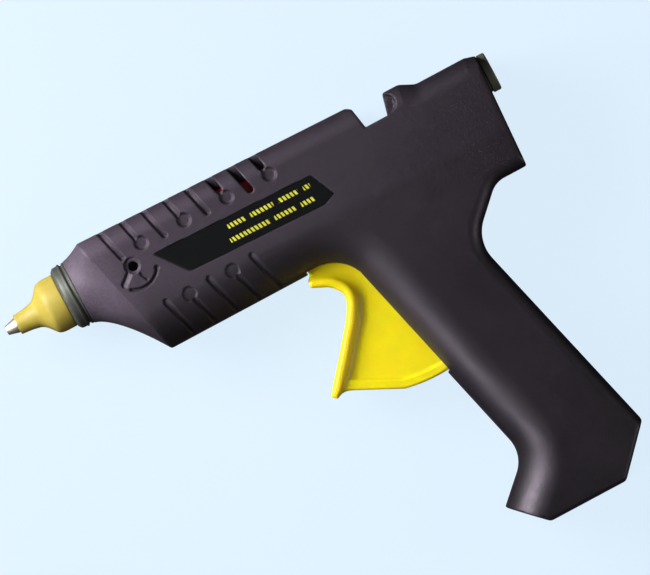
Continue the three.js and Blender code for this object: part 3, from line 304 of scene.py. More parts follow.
def turned_piece(name, profile, body, slot, replaced, around=96, sharp=40):
    """A piece turned round the stick's axis. The profile is a closed loop of (radius, x) places,
    and each is carried round in equal steps: y = r cos a, z = r sin a."""
    radius, along = np.array(profile).T
    area = np.sum(radius * np.roll(along, -1) - np.roll(radius, -1) * along)
    if area < 0:
        radius, along = radius[::-1], along[::-1]
    angles = np.arange(around) * 2 * np.pi / around
    points = np.stack([
        np.broadcast_to(along, (around, len(along))),
        radius * np.cos(angles)[:, None],
        radius * np.sin(angles)[:, None] + MIDDLE,
    ], -1).reshape(-1, 3)
    row, column = np.meshgrid(np.arange(around), np.arange(len(along)), indexing="ij")
    next_row, next_column = (row + 1) % around, (column + 1) % len(along)
    faces = np.stack([
        row * len(along) + column, row * len(along) + next_column,
        next_row * len(along) + next_column, next_row * len(along) + column,
    ], -1).reshape(-1, 4)
    return add_piece(name, points, faces, body, slot, replaced, sharp=sharp)


# The casing's outer form

SEAM_GAP = 0.15
NOSE_FACE = -100.3
NOSE_RADIUS = 12.4
RIDGE_X = -92.6
RIDGE_SLOPE = 0.257
TOP_LEAN = np.tan(np.radians(1.43))
TOP_AT_AXIS = 13.2
UNDERSIDE = -33.65
REAR_UNDERSIDE = -36.05
BOTTOM = -152.6
HUMP_TOP = 11.4
REAR_TOP = 8.6
FRONT_ROUNDING = 16.0
TOP_ROUNDING = 8.0
BACK_ROUNDING = 5.0
END_ROUNDING = 1.8
SIDE_BLEND = 0.8
STRAIGHT_ENDS = [((65.3, 0), 87), ((0, BOTTOM), 0), ((10.8, BOTTOM), -44.4), ((41.4, BOTTOM), 47.2)]

FRONT_PATH = rounded_path([
    (-FAR, UNDERSIDE, 0), (-10.3, UNDERSIDE, 13), (13.3, -126.9, 12), (-131.8, -264.6, 0),
]) + [(FAR, -264.6), (FAR, FAR), (-FAR, FAR)]
BACK_PATH = rounded_path([
    (FAR, REAR_UNDERSIDE, 0), (50.7, REAR_UNDERSIDE, 9), (34.86, -51.51, 14), (85.28, -245.05, 0),
]) + [(-FAR, -245.05), (-FAR, FAR), (FAR, FAR)]
TOP_PATH = rounded_path([
    (-FAR, TOP_AT_AXIS + FAR * TOP_LEAN, 0), (23.45, 12.6, 0), (23.45, HUMP_TOP, 0),
    (36.3, HUMP_TOP, 4), (42, REAR_TOP, 5), (61.6, REAR_TOP, 2), (65, 7.6, 0), (FAR, 7.6, 0),
]) + [(FAR, -FAR), (-FAR, -FAR)]


def past_side(x, y, point, heading):
    """Distance beyond a straight side through a point, with the casing on its heading's left."""
    a = np.radians(heading)
    return (x - point[0]) * np.sin(a) - (y - point[1]) * np.cos(a)


def section_reach(angle):
    """How far the barrel's rounded section reaches from the stick's axis, by halving the range:
    a place is inside where it is less than the rounding from the section's inner rectangle."""
    low, high = np.zeros_like(angle), np.full_like(angle, 70.0)
    for _ in range(30):
        middle = (low + high) / 2
        z, y = middle * np.abs(np.cos(angle)), middle * np.sin(angle)
        rounding = np.where(y > 0, TOP_ROUNDING, FRONT_ROUNDING)
        over = np.where(y > 0, y - TOP_AT_AXIS + TOP_LEAN * RIDGE_X, UNDERSIDE - y) + rounding
        aside = z - HALF + rounding
        inside = np.hypot(np.maximum(over, 0), np.maximum(aside, 0)) < rounding
        low, high = np.where(inside, middle, low), np.where(inside, high, middle)
    return low


REACH_ANGLES = np.radians(np.arange(-90, 90.5, 0.5))
REACH_TABLE = section_reach(REACH_ANGLES)


def nose_field(x, y, z):
    """The flare from the round nose to the barrel's section: the radius grows with the power 1.5
    of the share of the way to the slanted ridge."""
    angle = np.arctan2(y, np.abs(z))
    edge = np.interp(angle, REACH_ANGLES, REACH_TABLE)
    top = TOP_AT_AXIS - TOP_LEAN * RIDGE_X
    length = RIDGE_X + (top - edge * np.sin(angle)) * RIDGE_SLOPE - NOSE_FACE
    share = np.maximum(x - NOSE_FACE, 0) / length
    radius = NOSE_RADIUS + (edge - NOSE_RADIUS) * share ** 1.5
    slope = (edge - NOSE_RADIUS) * 1.5 * np.sqrt(share) / length
    return (np.hypot(y, z) - radius) / np.sqrt(1 + slope ** 2)


def casing_form(x, y, z):
    """The whole casing as one solid: the smooth common part of its sides, each rounded over its
    two long edges by its own radius. On the flat faces all sides agree, so the blend's width
    shrinks there with the distance from the face."""
    paths = ((FRONT_PATH, FRONT_ROUNDING), (BACK_PATH, BACK_ROUNDING), (TOP_PATH, TOP_ROUNDING))
    sides = [(rounded_side(outline_distance(x, y, path), z, HALF, rounding), SIDE_BLEND)
             for path, rounding in paths]
    sides += [(rounded_side(past_side(x, y, point, heading), z, HALF, END_ROUNDING), SIDE_BLEND)
              for point, heading in STRAIGHT_ENDS]
    sides += [(nose_field(x, y, z), 0.6), (NOSE_FACE - x + 0 * z, 0.5)]
    f = sides[0][0]
    for other, width in sides[1:]:
        room = np.maximum(f, other) - np.abs(z) + HALF
        f = soft_max(f, other, np.clip(room, 1e-6, width))
    return f


# The casing's inner parts and cuts


def between(value, low, high):
    """Distance outside a range along one axis."""
    return np.maximum(low - value, value - high)


def block(x, y, a, xs, ys, high):
    """A box from xs and ys in plan, between the heights given along a."""
    return np.maximum(np.maximum(between(x, *xs), between(y, *ys)), between(a, *high))


def post(x, y, a, place, radius, high):
    """A cylinder across the casing."""
    return np.maximum(np.hypot(x - place[0], y - place[1]) - radius, between(a, *high))


def bore(x, y, z, radius, xs):
    """A bore along the stick's axis."""
    return np.maximum(np.hypot(y, z) - radius, between(x, *xs))


def least(*fields):
    """The union of several solids."""
    result = fields[0]
    for other in fields[1:]:
        result = np.minimum(result, other)
    return result


SCREW_PLACES = [(-80.24, -22.21), (-46.14, -23.56), (53.16, -22.21), (21.2, -52.1),
                (19.0, -100.9), (39.93, -140.7)]
PIVOT = (0.0, -28.0)
NOTCH = [(15.7, 16), (15.7, 12.77), (17.5, 11.36), (18.9, 3.4), (28, 3.4), (30, 11.4), (30, 16)]
TRIGGER_SLOT = [(-24.77, -29.25), (-24.6, -31.13), (-24.28, -33.0), (-23.8, -34.97),
                (-23.15, -36.89), (-59.2, -36.89), (-59.2, -87.8), (7.75, -87.8),
                (-2.93, -45.5), (-10.3, -29.25)]
LABEL = [(-70, -0.6), (-61, -12.5), (-6.9, -14.3), (-2.2, -12.2), (-6.6, -2.4)]
UP_LEAN = (-np.sin(np.radians(14.5)), np.cos(np.radians(14.5)))
PIVOT_BORE = 2.12
STAND_HOLE = (-78.1, -1.2)
SOLID_NOSE_END = -92.3
HUMP_X = (18.9, 34.9)
SCOOP_PLACE = (29.3, 7.4)
SCOOP_RADIUS = 3.4
SCOOP_FLOOR = 11.5
CORD_X = 26.1
CORD_RADIUS = 4
VENT_HALF = 1.25
TOP_VENTS = (-80.3, 8.68)
TOP_VENT_END = 2.2
TOP_VENT_DEPTH = 1.6
LOW_VENTS = (-73.7, 8.75)
LOW_VENT_END = -16.8
LOW_VENT_DEPTH = 1.0
CROSS_RIBS = [
    ((-90.1, -88.3), (-16.8, 13.2)), ((-53.7, -51.9), (-16.8, 13.2)),
    ((-18.2, -16.4), (-10.3, 13.2)), ((53.9, 55.7), (-9.8, 11.4)), ((42, 43.8), (-9.8, 11.4)),
    ((24.9, 26.7), (-128.3, -110.3)), ((41.3, 43.1), (-128.3, -110.3)),
]
# Radius and X range of each stretch of the bore, from the nozzle to the stick's inlet
BORES = [
    (9.7, (-104, -96.1)), (11.2, (-96.4, -94.2)), (8.8, (-96.2, -47.2)), (11.2, (-47.8, -42.0)),
    (10.3, (-47.8, -34.9)), (8.4, (-47.5, -18.2)), (6.3, (-21.5, 71)), (7.1, (56, 71)),
    (7.9, (55.7, 63.1)),
]


def inner_parts(x, y, z):
    """Ribs, rails, walls and screw bosses inside one half."""
    a = np.abs(z)
    spine = block(x, y, a, (-54, -18.5), (0, 26), (0, 1.95))
    cross = least(*(block(x, y, a, xs, ys, (0, FAR)) for xs, ys in CROSS_RIBS))
    rails = least(*(block(x, y, a, (-18.5, 18.9), ys, (9.4, FAR))
                    for ys in ((1.8, 3.8), (-3.8, -1.8))))
    shelf = block(x, y, a, (26.7, 41.3), (-120.2, -118.4), (6.3, FAR))
    pivot = post(x, y, a, PIVOT, 5, (5.2, FAR))
    bosses = least(*(post(x, y, a, place, 4.3, (0, FAR)) for place in SCREW_PLACES))
    return least(spine, cross, rails, shelf, pivot, bosses)


def sunk(floor, walls):
    """A hollow's depth from its floor's and its walls', rounded at the foot and the rim."""
    return soft_max(soft_min(floor + 0 * walls, walls, 0.4), 0 * walls, 0.25)


def vent_depth(x, y, first, pitch, count, end, up, deep):
    """How deep a row of leaning grooves is sunk below the skin. A groove is deepest along its left
    side, where a wall falls at two in one, and its floor rises to the skin at its right side
    with the square of the way across. Every second one ends in a dish with a flat floor."""
    total = 0 * x + 0 * y
    for i in range(count):
        start = (first + pitch * i, end + up * VENT_HALF)
        heading = (up * UP_LEAN[0], up * UP_LEAN[1])
        across = (x - start[0]) * UP_LEAN[1] - (y - start[1]) * UP_LEAN[0]
        floor = deep * (1 - np.clip((across + VENT_HALF) / (2 * VENT_HALF), 0, 1) ** 2)
        inset = -ray_distance(x, y, start, heading, VENT_HALF)
        if i % 2:
            reach = np.hypot(x - start[0], y - end - up * 2.7)
            floor = np.minimum(floor, 0.6 * deep + np.maximum(reach - 2.2, 0) * 0.6)
            total = np.maximum(total, sunk(0.65 * deep, 1.4 * (2.75 - reach)))
        total = np.maximum(total, sunk(floor, 2 * inset))
    return total


def vent_slits(x, y, first, pitch, places, end):
    """The top row's open slits: the odd ones start beyond their neighbour groove's dish."""
    slits = []
    for i in places:
        low = end + VENT_HALF + (5.4 if i % 2 else 0)
        start = (first + pitch * i + (low - end - VENT_HALF) * UP_LEAN[0] / UP_LEAN[1], low)
        slits.append(ray_distance(x, y, start, UP_LEAN, VENT_HALF))
    return least(*slits)


def arc_groove(x, y, centre, radius, middle, half_turn, half):
    """Plan distance to a groove along an arc: beyond its ends the nearest end counts."""
    dx, dy = x - centre[0], y - centre[1]
    m = np.radians(middle)
    angle = np.arctan2(dy * np.cos(m) - dx * np.sin(m), dx * np.cos(m) + dy * np.sin(m))
    angle = m + np.clip(angle, -np.radians(half_turn), np.radians(half_turn))
    return np.hypot(dx - radius * np.cos(angle), dy - radius * np.sin(angle)) - half


def socket_depth(x, y):
    """How deep the wire stand's socket is sunk round its hole: a dish that is deeper to its left,
    a wide groove whose floor rises to the right, a curved groove and a thin straight one."""
    dish = sunk(0.75 - 0.2 * (x + 78.4), 1.8 * (3.1 - np.hypot(x + 78.4, y + 0.8)))
    across = (x + 80.1) * 0.646 - (y + 2.4) * 0.763
    wide = sunk(1.4 - 0.5 * (across + 1.3), -2 * bar_distance(x, y, (-80.1, -2.4), (-84.0, -5.7), 1.3))
    arc = sunk(1.1, -2 * arc_groove(x, y, STAND_HOLE, 8.5, -77, 46, 0.72))
    end = sunk(0.9, 1.7 * (1.0 - np.hypot(x + 70.9, y + 5.6)))
    thin = sunk(0.8, -1.8 * bar_distance(x, y, (-77.0, -4.9), (-75.8, -7.6), 0.62))
    return np.maximum.reduce([dish, wide, arc, end, thin])


def carved_depth(x, y, z, side):
    """The depth of all that is sunk into the skin of a flank, four millimetres clear of the
    middle plane; the left flank also has the label plate's recess."""
    depth = np.maximum(vent_depth(x, y, *TOP_VENTS, 8, TOP_VENT_END, 1, TOP_VENT_DEPTH),
                       vent_depth(x, y, *LOW_VENTS, 5, LOW_VENT_END, -1, LOW_VENT_DEPTH))
    depth = np.maximum(depth, socket_depth(x, y))
    if side > 0:
        depth = np.maximum(depth, sunk(0.5, -3 * outline_distance(x, y, LABEL)))
    return np.minimum(depth, np.maximum(np.abs(z) - 4, 0) * 3)


def casing_cuts(x, y, z, side):
    """Everything that is cut from one half after its walls and ribs are joined."""
    a = np.abs(z)
    notch = outline_distance(x, y, NOTCH) + 0 * a
    bores = least(*(bore(x, y, z, radius, xs) for radius, xs in BORES))
    heater_room = block(x, y, a, (-88.3, -50), (-16.3, 0), (-1, 7.3))
    slots = np.maximum(vent_slits(x, y, *TOP_VENTS, (5, 6, 7), TOP_VENT_END), 4 - a)
    scoop = post(x, y, a, SCOOP_PLACE, SCOOP_RADIUS, (SCOOP_FLOOR, FAR))
    trigger = np.maximum(outline_distance(x, y, TRIGGER_SLOT), a - 6.1)
    cord = np.maximum(np.hypot(x - CORD_X, z) - CORD_RADIUS, between(y, -160, -146))
    pin = post(x, y, a, PIVOT, PIVOT_BORE, (-1, 14.8))
    hole = post(x, y, a, STAND_HOLE, 1.7, (12, FAR))
    cuts = [notch, bores, heater_room, slots, hole, scoop, trigger, cord, pin]
    if side > 0:
        cuts += [post(x, y, a, place, 1.6, (-1, 11)) for place in SCREW_PLACES]
    else:
        cuts += [np.hypot(x - px, y - py) - 1.9 + 0 * a for px, py in SCREW_PLACES]
        cuts += [post(x, y, a, place, 3.1, (3, FAR)) for place in SCREW_PLACES]
    return least(*cuts)


def casing_half_field(side):
    """One half of the casing: the form with its carved skin, cut by every opening and ended a
    little short of the middle plane. solid_nose is below zero everywhere behind the nose, so
    the hollow isn't taken out there and the half is filled, which the real casing is not. The
    nose alone should stay solid, which takes the other sign: x - SOLID_NOSE_END."""
    def field(x, y, z):
        form = casing_form(x, y, z)
        solid_nose = SOLID_NOSE_END - x
        solid_hump = np.maximum(between(x, *HUMP_X), -y)
        notch_wall = outline_distance(x, y, NOTCH) - WALL
        hollow = np.maximum(form + WALL, -least(solid_nose, solid_hump, notch_wall + 0 * z,
                                                inner_parts(x, y, z)))
        shell = np.maximum(form + carved_depth(x, y, z, side), -hollow)
        solid = soft_max(shell, -casing_cuts(x, y, z, side), 0.7)
        return soft_max(solid, SEAM_GAP - side * z, 0.3)
    return field


HANDLE_LEAN = 0.2525


def make_casing(side, name, node):
    """One casing half on a grid that leans with the handle's front, finest over the relief."""
    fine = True
    step = 0.43 if fine else 1.0
    rest = 0.9 if fine else 1.4
    xs = grid_line((-104, 0.6), (-91, step), (-15, rest), (69.5, 1))
    ys = grid_line((-153.6, 1.2 * rest), (-37, 0.7), (-14, step), (13.6, 0.6), (16.4, 1))
    zs = grid_line((-0.9, 1.2), (14.1, 0.5), (17.6, 1)) * side
    zs = zs if side > 0 else zs[::-1]
    return field_piece(name, casing_half_field(side), (xs, ys, zs), "base", "casing", [node],
                       HANDLE_LEAN)


# The trigger

FINGER_LINE = np.array([
    (-25.57, -38.12), (-22.02, -39.19), (-19.24, -40.61), (-17.23, -42.56), (-15.92, -44.52),
    (-15.51, -46.53), (-15.98, -48.72), (-17.64, -51.92), (-20.13, -55.65), (-27.23, -64.47),
    (-34.16, -72.7), (-37.59, -76.07),
])
RIM_FRONT = (-34.04, -75.24)
TRIGGER_LENGTH = 59.2
LOWER_EDGE_ANGLES = (-102.5, -82.4)
RIM_HEIGHT = 3.2
FLANGE_THICKNESS = 2.3
WEB_HALF = 4.6
FLANGE_HALF = 7.6
RIM_HALF = 5.5
HUB_RADIUS = 6.4
ARM_LENGTH = 18.6
FORK_START = 13.6
FORK_HALF = 1.32


def moved_line(line, distance):
    """A line moved to its left by a distance, along each point's own normal."""
    heading = np.gradient(line, axis=0)
    heading /= np.linalg.norm(heading, axis=1, keepdims=True)
    return line + distance * np.stack([-heading[:, 1], heading[:, 0]], 1)


def arc_line(radius, start, end, count=16):
    """Points on an arc round the trigger's pivot."""
    angles = np.radians(np.linspace(start, end, count))
    return np.stack([PIVOT[0] + radius * np.cos(angles), PIVOT[1] + radius * np.sin(angles)], 1)


FINGER_CURVE = curve_through(FINGER_LINE)
FLANGE = np.vstack([FINGER_CURVE, moved_line(FINGER_CURVE, FLANGE_THICKNESS)[::-1]])
LOWER_EDGE = np.vstack([[RIM_FRONT], arc_line(TRIGGER_LENGTH, *LOWER_EDGE_ANGLES)])
UPPER_EDGE = np.vstack([[(RIM_FRONT[0] + RIM_HEIGHT / 2, RIM_FRONT[1] + RIM_HEIGHT)],
                        arc_line(TRIGGER_LENGTH - RIM_HEIGHT, *LOWER_EDGE_ANGLES)])
WEB = np.vstack([
    arc_line(24.2, 168, 201), moved_line(FINGER_CURVE, FLANGE_THICKNESS / 2)[6:-6], LOWER_EDGE,
    arc_line(6.1, -60, 90, 5),
])
RIM = np.vstack([LOWER_EDGE, UPPER_EDGE[::-1]])
ARM_UP = (np.sin(np.radians(9)), np.cos(np.radians(9)))


def trigger_field(x, y, z):
    """The trigger: a web with a finger flange along its front, a rim along its lower edge, a hub
    on the pivot and an arm that ends in a fork."""
    a = np.abs(z)
    web = rounded_side(outline_distance(x, y, WEB), z, WEB_HALF, 0.5)
    flange = rounded_side(outline_distance(x, y, FLANGE), z, FLANGE_HALF, 0.9)
    rim = rounded_side(outline_distance(x, y, RIM), z, RIM_HALF, 0.6)
    from_pivot = np.hypot(x - PIVOT[0], y - PIVOT[1])
    hub = rounded_side(from_pivot - HUB_RADIUS, z, WEB_HALF, 0.5)
    f = soft_min(soft_min(web, flange, 5.0), rim, 1.2)
    f = np.minimum(f, hub)
    along = (x - PIVOT[0]) * ARM_UP[0] + (y - PIVOT[1]) * ARM_UP[1]
    across = (x - PIVOT[0]) * ARM_UP[1] - (y - PIVOT[1]) * ARM_UP[0]
    arm = np.maximum(np.abs(across) - 3.7 + along * 0.038, between(along, 0, ARM_LENGTH))
    f = soft_min(f, rounded_side(arm, z, 2.4, 0.5), 1.0)
    fork = np.maximum(np.abs(across) - FORK_HALF, FORK_START - along)
    hole = from_pivot - PIVOT_BORE
    return soft_max(f, -np.minimum(fork, hole) + 0 * a, 0.3)


def make_trigger():
    """The trigger on an even grid."""
    step = 0.5
    grid = (grid_line((-40, step), (13, 1)), grid_line((-89, step), (-7, 1)),
            grid_line((-8.3, step), (8.6, 1)))
    return field_piece("trigger_body", trigger_field, grid, "trigger", "yellow_plastic", ["trigger"])


# Turned pieces


def make_turned():
    """The nozzle, its soft cover, the ring round its base and the stick's inlet ring."""
    nozzle = rounded_path([
        (0.9, -127.5, 0), (0.75, -129.5, 0.2), (1.7, -129.5, 0.35), (2.9, -125.1, 1.2),
        (3.5, -117.7, 1.0), (6.0, -115.1, 0.6), (6.0, -106.5, 0.4), (4.4, -106.5, 0),
        (4.4, -92.5, 0.4), (1.1, -92.5, 0.2), (1.1, -126.5, 0.2), (0.9, -127.5, 0),
    ], 15)[:-1]
    turned_piece("nozzle_body", nozzle, "base", "tip_metal", ["nozzle"])
    cover = np.vstack([
        rounded_path([(3.25, -124.6, 0), (3.25, -125.1, 0.15), (3.72, -125.1, 0.25),
                      (3.85, -123.5, 0)], 20),
        curve_through([(4.1, -121.0), (4.5, -119.0), (4.95, -117.4), (5.9, -116.0), (7.4, -114.7),
                       (8.9, -113.5), (9.75, -112.5), (10.15, -111.2), (10.3, -109.5)], 8),
        rounded_path([(10.3, -107.5, 0), (10.3, -105.98, 0.35), (8.0, -105.98, 0)], 12),
        rounded_path([(7.0, -105.98, 0), (6.3, -105.98, 0.3), (6.3, -115.25, 0.6),
                      (3.8, -117.85, 0.8), (3.3, -122.0, 0)], 20),
    ])
    turned_piece("nozzle_cover_body", cover, "base", "yellow_silicone", ["nozzle_cover"], sharp=50)
    ring = rounded_path([
        (8.0, -105.9, 0), (10.7, -105.9, 0.35), (11.95, -104.9, 0.5), (12.1, -103.9, 0.3),
        (12.1, -102.85, 0.1), (12.4, -102.8, 0.15), (12.4, -102.1, 0.3), (11.6, -101.7, 0.15),
        (11.6, -101.2, 0.15), (12.2, -101.0, 0.2), (12.2, -100.32, 0.1), (9.4, -100.32, 0.1),
        (9.4, -96.1, 0.2), (10.9, -96.1, 0.3), (10.9, -94.5, 0.3), (7.0, -94.5, 0.3),
        (7.0, -105.9, 0.3), (8.0, -105.9, 0),
    ], 15)[:-1]
    turned_piece("front_ring_body", ring, "base", "ring_metal", ["front_ring"])
    inlet = rounded_path([
        (6.0, 58.0, 0), (6.0, 56.0, 0.3), (7.6, 56.0, 0.4), (7.6, 62.8, 0.3), (6.8, 62.8, 0.2),
        (6.8, 65.9, 0.1), (7.35, 65.9, 0.3), (7.35, 69.0, 0.7), (6.1, 69.0, 0.5), (6.0, 68.3, 0.2),
        (6.0, 58.0, 0),
    ], 15)[:-1]
    turned_piece("inlet_ring_body", inlet, "base", "olive_metal", ["inlet_ring"])


# The return spring

SPRING_RADIUS = 8.0
SPRING_WIRE = 0.5
SPRING_TURNS = 5
STEPS_PER_TURN = 40
WIRE_SIDES = 12


def make_spring():
    """The return spring: a wire wound in a helix round the stick's axis, y = r cos a and
    z = r sin a. Its front end bears on the casing and its rear end on the carriage, but the piece
    is attached to neither body."""
    low, high = (np.array(corner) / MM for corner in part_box("carriage_spring"))
    start, end = low[0] + SPRING_WIRE, high[0] - SPRING_WIRE
    share = np.linspace(0, 1, SPRING_TURNS * STEPS_PER_TURN + 1)[:, None]
    sides = WIRE_SIDES
    turn = share * SPRING_TURNS * 2 * np.pi
    round_wire = np.arange(sides)[None, :] * 2 * np.pi / sides
    reach = SPRING_RADIUS + SPRING_WIRE * np.cos(round_wire)
    points = np.stack([
        start + (end - start) * share + SPRING_WIRE * np.sin(round_wire),
        reach * np.cos(turn), reach * np.sin(turn) + MIDDLE,
    ], -1).reshape(-1, 3)
    row, column = np.meshgrid(np.arange(len(share) - 1), np.arange(sides), indexing="ij")
    after = (column + 1) % sides
    tube = np.stack([row * sides + column, (row + 1) * sides + column,
                     (row + 1) * sides + after, row * sides + after], -1).reshape(-1, 4)
    k = np.arange(sides // 2 - 1)
    cap = np.stack([k, k + 1, sides - 2 - k, sides - 1 - k], 1)
    faces = np.vstack([tube, cap, cap[:, ::-1] + (len(share) - 1) * sides])
    spring = add_piece("return_spring", points, faces, None, "spring_steel", ["carriage_spring"],
                       sharp=50)
    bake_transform(spring)


# Materials


def linear(red, green, blue):
    """A colour on the 0 to 255 scale as the light it stands for."""
    c = np.array((red, green, blue)) / 255
    light = np.where(c <= 0.04045, c / 12.92, ((c + 0.055) / 1.055) ** 2.4)
    return (*light.tolist(), 1.0)


class Value:
    """A socket that gives one number; arithmetic on it adds Math nodes."""

    def __init__(self, nodes, socket):
        self.nodes, self.socket = nodes, socket

    def math(self, operation, *inputs, **settings):
        return self.nodes.node("Math", dict(operation=operation, **settings), dict(enumerate(inputs)))

    def __add__(self, other):
        return self.math("ADD", self, other)

    def __sub__(self, other):
        return self.math("SUBTRACT", self, other)

    def __rsub__(self, other):
        return self.math("SUBTRACT", other, self)

    def __mul__(self, other):
        return self.math("MULTIPLY", self, other)

    def __truediv__(self, other):
        return self.math("DIVIDE", self, other)

    def __pow__(self, other):
        return self.math("POWER", self, other)

    __radd__, __rmul__ = __add__, __mul__

    def absolute(self):
        return self.math("ABSOLUTE", self)

    def under(self, limit, soft):
        """1 where the value is below the limit, falling to 0 over the soft width."""
        return self.math("ADD", (limit - self) / soft, 0.5, use_clamp=True)

    def stretched(self, low, high):
        """The value's range from low to high stretched over 0 to 1."""
        return self.math("DIVIDE", self - low, high - low, use_clamp=True)


class Nodes:
    """A node tree, and the one way in which nodes are added to it."""

    def __init__(self, tree):
        self.tree = tree

    def node(self, kind, settings, inputs, output=0):
        node = self.tree.nodes.new("ShaderNode" + kind)
        for key, value in settings.items():
            setattr(node, key, value)
        for key, value in inputs.items():
            self.put(node.inputs[key], value)
        return Value(self, node.outputs[output]) if node.outputs else None

    def put(self, socket, value):
        if isinstance(value, Value):
            self.tree.links.new(value.socket, socket)
        else:
            socket.default_value = value


class Finish(Nodes):
    """A material on one Principled shader."""

    def __init__(self, name, **constants):
        self.material = bpy.data.materials.new(name)
        self.material.use_nodes = True
        super().__init__(self.material.node_tree)
        self.shader = self.tree.nodes["Principled BSDF"]
        self.place = self.node("TexCoord", {}, {}, "Object")
        for socket, value in constants.items():
            self.set(socket.replace("_", " "), value)

    def set(self, name, value):
        self.put(self.shader.inputs[name], value)

    def noise(self, size, detail=2.0, rough=0.5, stretch=(1, 1, 1)):
        """Smooth noise whose features are about size millimetres across."""
        place = self.place
        if stretch != (1, 1, 1):
            place = self.node("Mapping", {}, {"Vector": place, "Scale": stretch})
        return self.node("TexNoise", {}, {
            "Vector": place, "Scale": 1000 / size, "Detail": detail, "Roughness": rough})

    def cells(self, size):
        """Distance to the nearest of random points about size millimetres apart."""
        return self.node("TexVoronoi", {}, {"Vector": self.place, "Scale": 1000 / size}, "Distance")

    def axis(self, name):
        """One Object coordinate in millimetres."""
        return self.node("SeparateXYZ", {}, {"Vector": self.place}, name) * 1000

    def blend(self, factor, first, second):
        return self.node("Mix", {"data_type": "RGBA"}, {0: factor, 6: first, 7: second}, 2)

    def bump(self, height, depth, strength=1.0):
        """Raises the surface by the height's value times the depth in millimetres."""
        self.set("Normal", self.node("Bump", {}, {
            "Height": height, "Distance": depth * MM, "Strength": strength}))


def casing_finish():
    """Dark moulded plastic: a fine eroded grain over faint cloudy flow marks. Painted light lightens it
    over the nose's flare, and painted shade darkens it towards the rear, down the handle and along
    the barrel's underside."""
    f = Finish("casing plastic", Specular_IOR_Level=0.5, Specular_Tint=(0.97, 0.84, 1.0, 1))
    cloud = f.noise(14, 3, 0.6).stretched(0.3, 0.7)
    fleck = f.noise(1.1, 2, 0.7).stretched(0.25, 0.75)
    # Painted shade: along darkens the colour from the nozzle towards the rear and down the handle,
    # where less light falls
    along = (f.axis("X") - f.axis("Y")).stretched(-90, 190) ** 0.55
    # Painted shade: low darkens the colour down the barrel's underside and round the trigger
    low = (0 - f.axis("Y")).stretched(7, 22)
    along = along.math("MAXIMUM", along, 0.9 * low)
    base = f.blend(along, linear(54, 46, 58), linear(10, 8, 11))
    # Painted light: the colour lightens over the nose's flare towards the nozzle
    painted_nose_light = (0 - f.axis("X")).stretched(80, 104)
    base = f.blend(0.7 * painted_nose_light, base, linear(108, 96, 112))
    # The flow marks' second colour carries the same painted shade
    base = f.blend(0.3 * cloud, base, f.blend(along, linear(58, 44, 52), linear(13, 9, 11)))
    f.set("Base Color", f.blend(0.5 * fleck, base, linear(12, 11, 15)))
    worn = (f.axis("X") - f.axis("Y")).stretched(10, 90)
    f.set("Roughness", 0.65 + 0.08 * cloud - 0.14 * fleck - 0.14 * worn)
    grain = 0.7 * f.noise(0.35, 2, 0.6) + 0.3 * f.cells(0.5)
    f.bump(grain + 2.2 * f.noise(3.5, 3, 0.6), 0.035)
    return f.material


def plastic_finish(name, colour, shade, rough, grain=0.02, specular=0.5, subsurface=0.0,
                   scatter=2.0):
    """Moulded plastic or rubber: two near colours in soft clouds, a fine grain, and roughness
    that follows the clouds. Light scatters inside it over some millimetres."""
    f = Finish(name, Specular_IOR_Level=specular, Subsurface_Weight=subsurface,
               Subsurface_Scale=scatter * MM)
    cloud = f.noise(7, 3, 0.6).stretched(0.3, 0.7)
    fine = f.noise(0.6, 3, 0.6)
    f.set("Base Color", f.blend(0.75 * cloud + 0.25 * fine.stretched(0.3, 0.7), colour, shade))
    f.set("Roughness", rough - 0.06 + 0.12 * cloud)
    f.bump(fine, grain)
    return f.material


def metal_finish(name, colour, shade, rough, lines=(1, 1, 1), grain=0.01, spots=0.3,
                 metallic=1.0):
    """Bare metal: fine lines along the turning or drawing, duller spots, and wear between two
    near colours."""
    f = Finish(name, Metallic=metallic)
    wear = f.noise(3.5, 4, 0.65).stretched(0.35, 0.7)
    drawn = f.noise(0.5, 2, 0.5, lines)
    f.set("Base Color", f.blend(spots * wear, colour, shade))
    f.set("Roughness", rough + 0.14 * wear - 0.07 + 0.08 * drawn)
    f.bump(drawn, grain)
    return f.material


def label_finish():
    """A black lacquered plate with two rows of plain yellow bars, each bar made of short upright
    strokes: a stroke repeats along the row, and a mask of stretches breaks the row."""
    f = Finish("label plate", Specular_IOR_Level=0.12)
    x, y = f.axis("X"), f.axis("Y")
    level = y + 0.0227 * x

    def row(middle, half, stretches):
        stroke = (f.node("Math", {"operation": "FRACT"}, {0: x / 1.5 + 0.17 * level}) - 0.5).absolute()
        inside = (level - middle).absolute().under(half, 0.2) * stroke.under(0.3, 0.14)
        words = None
        for low, high in stretches:
            here = (x - (low + high) / 2).absolute().under((high - low) / 2, 0.3)
            words = here if words is None else words + here
        return inside * words

    marks = row(-5.7, 0.85, ((-41.5, -34.6), (-32.4, -23.4), (-21.2, -13.4), (-11.2, -8.6)))
    marks = marks + row(-10.6, 0.85, ((-43, -27.2), (-25.2, -16.8), (-14.6, -9.4)))
    worn = marks * (1 - 0.35 * f.noise(0.7, 3, 0.7).stretched(0.45, 0.8))
    ground = f.blend(f.noise(5, 3, 0.6), linear(6, 8, 9), linear(11, 12, 13))
    f.set("Base Color", f.blend(worn, ground, linear(196, 194, 66)))
    f.set("Roughness", 0.42 + 0.12 * f.noise(2.5, 3, 0.6))
    f.bump(0.4 * f.noise(1.4, 3, 0.6) + 0.6 * marks, 0.03)
    return f.material


def film_finish():
    """Amber film wound round the heater: overlapping turns show as edges along its length."""
    f = Finish("insulation film", Specular_IOR_Level=0.5, Coat_Weight=0.4)
    turn = f.node("Math", {"operation": "FRACT"}, {0: (f.axis("X") + 0.6 * f.axis("Z")) / 6})
    shade = 0.6 * turn + 0.4 * f.noise(2, 3, 0.6)
    f.set("Base Color", f.blend(shade, linear(190, 110, 30), linear(120, 62, 18)))
    f.set("Roughness", 0.28 + 0.2 * shade)
    f.bump(turn, 0.05)
    return f.material


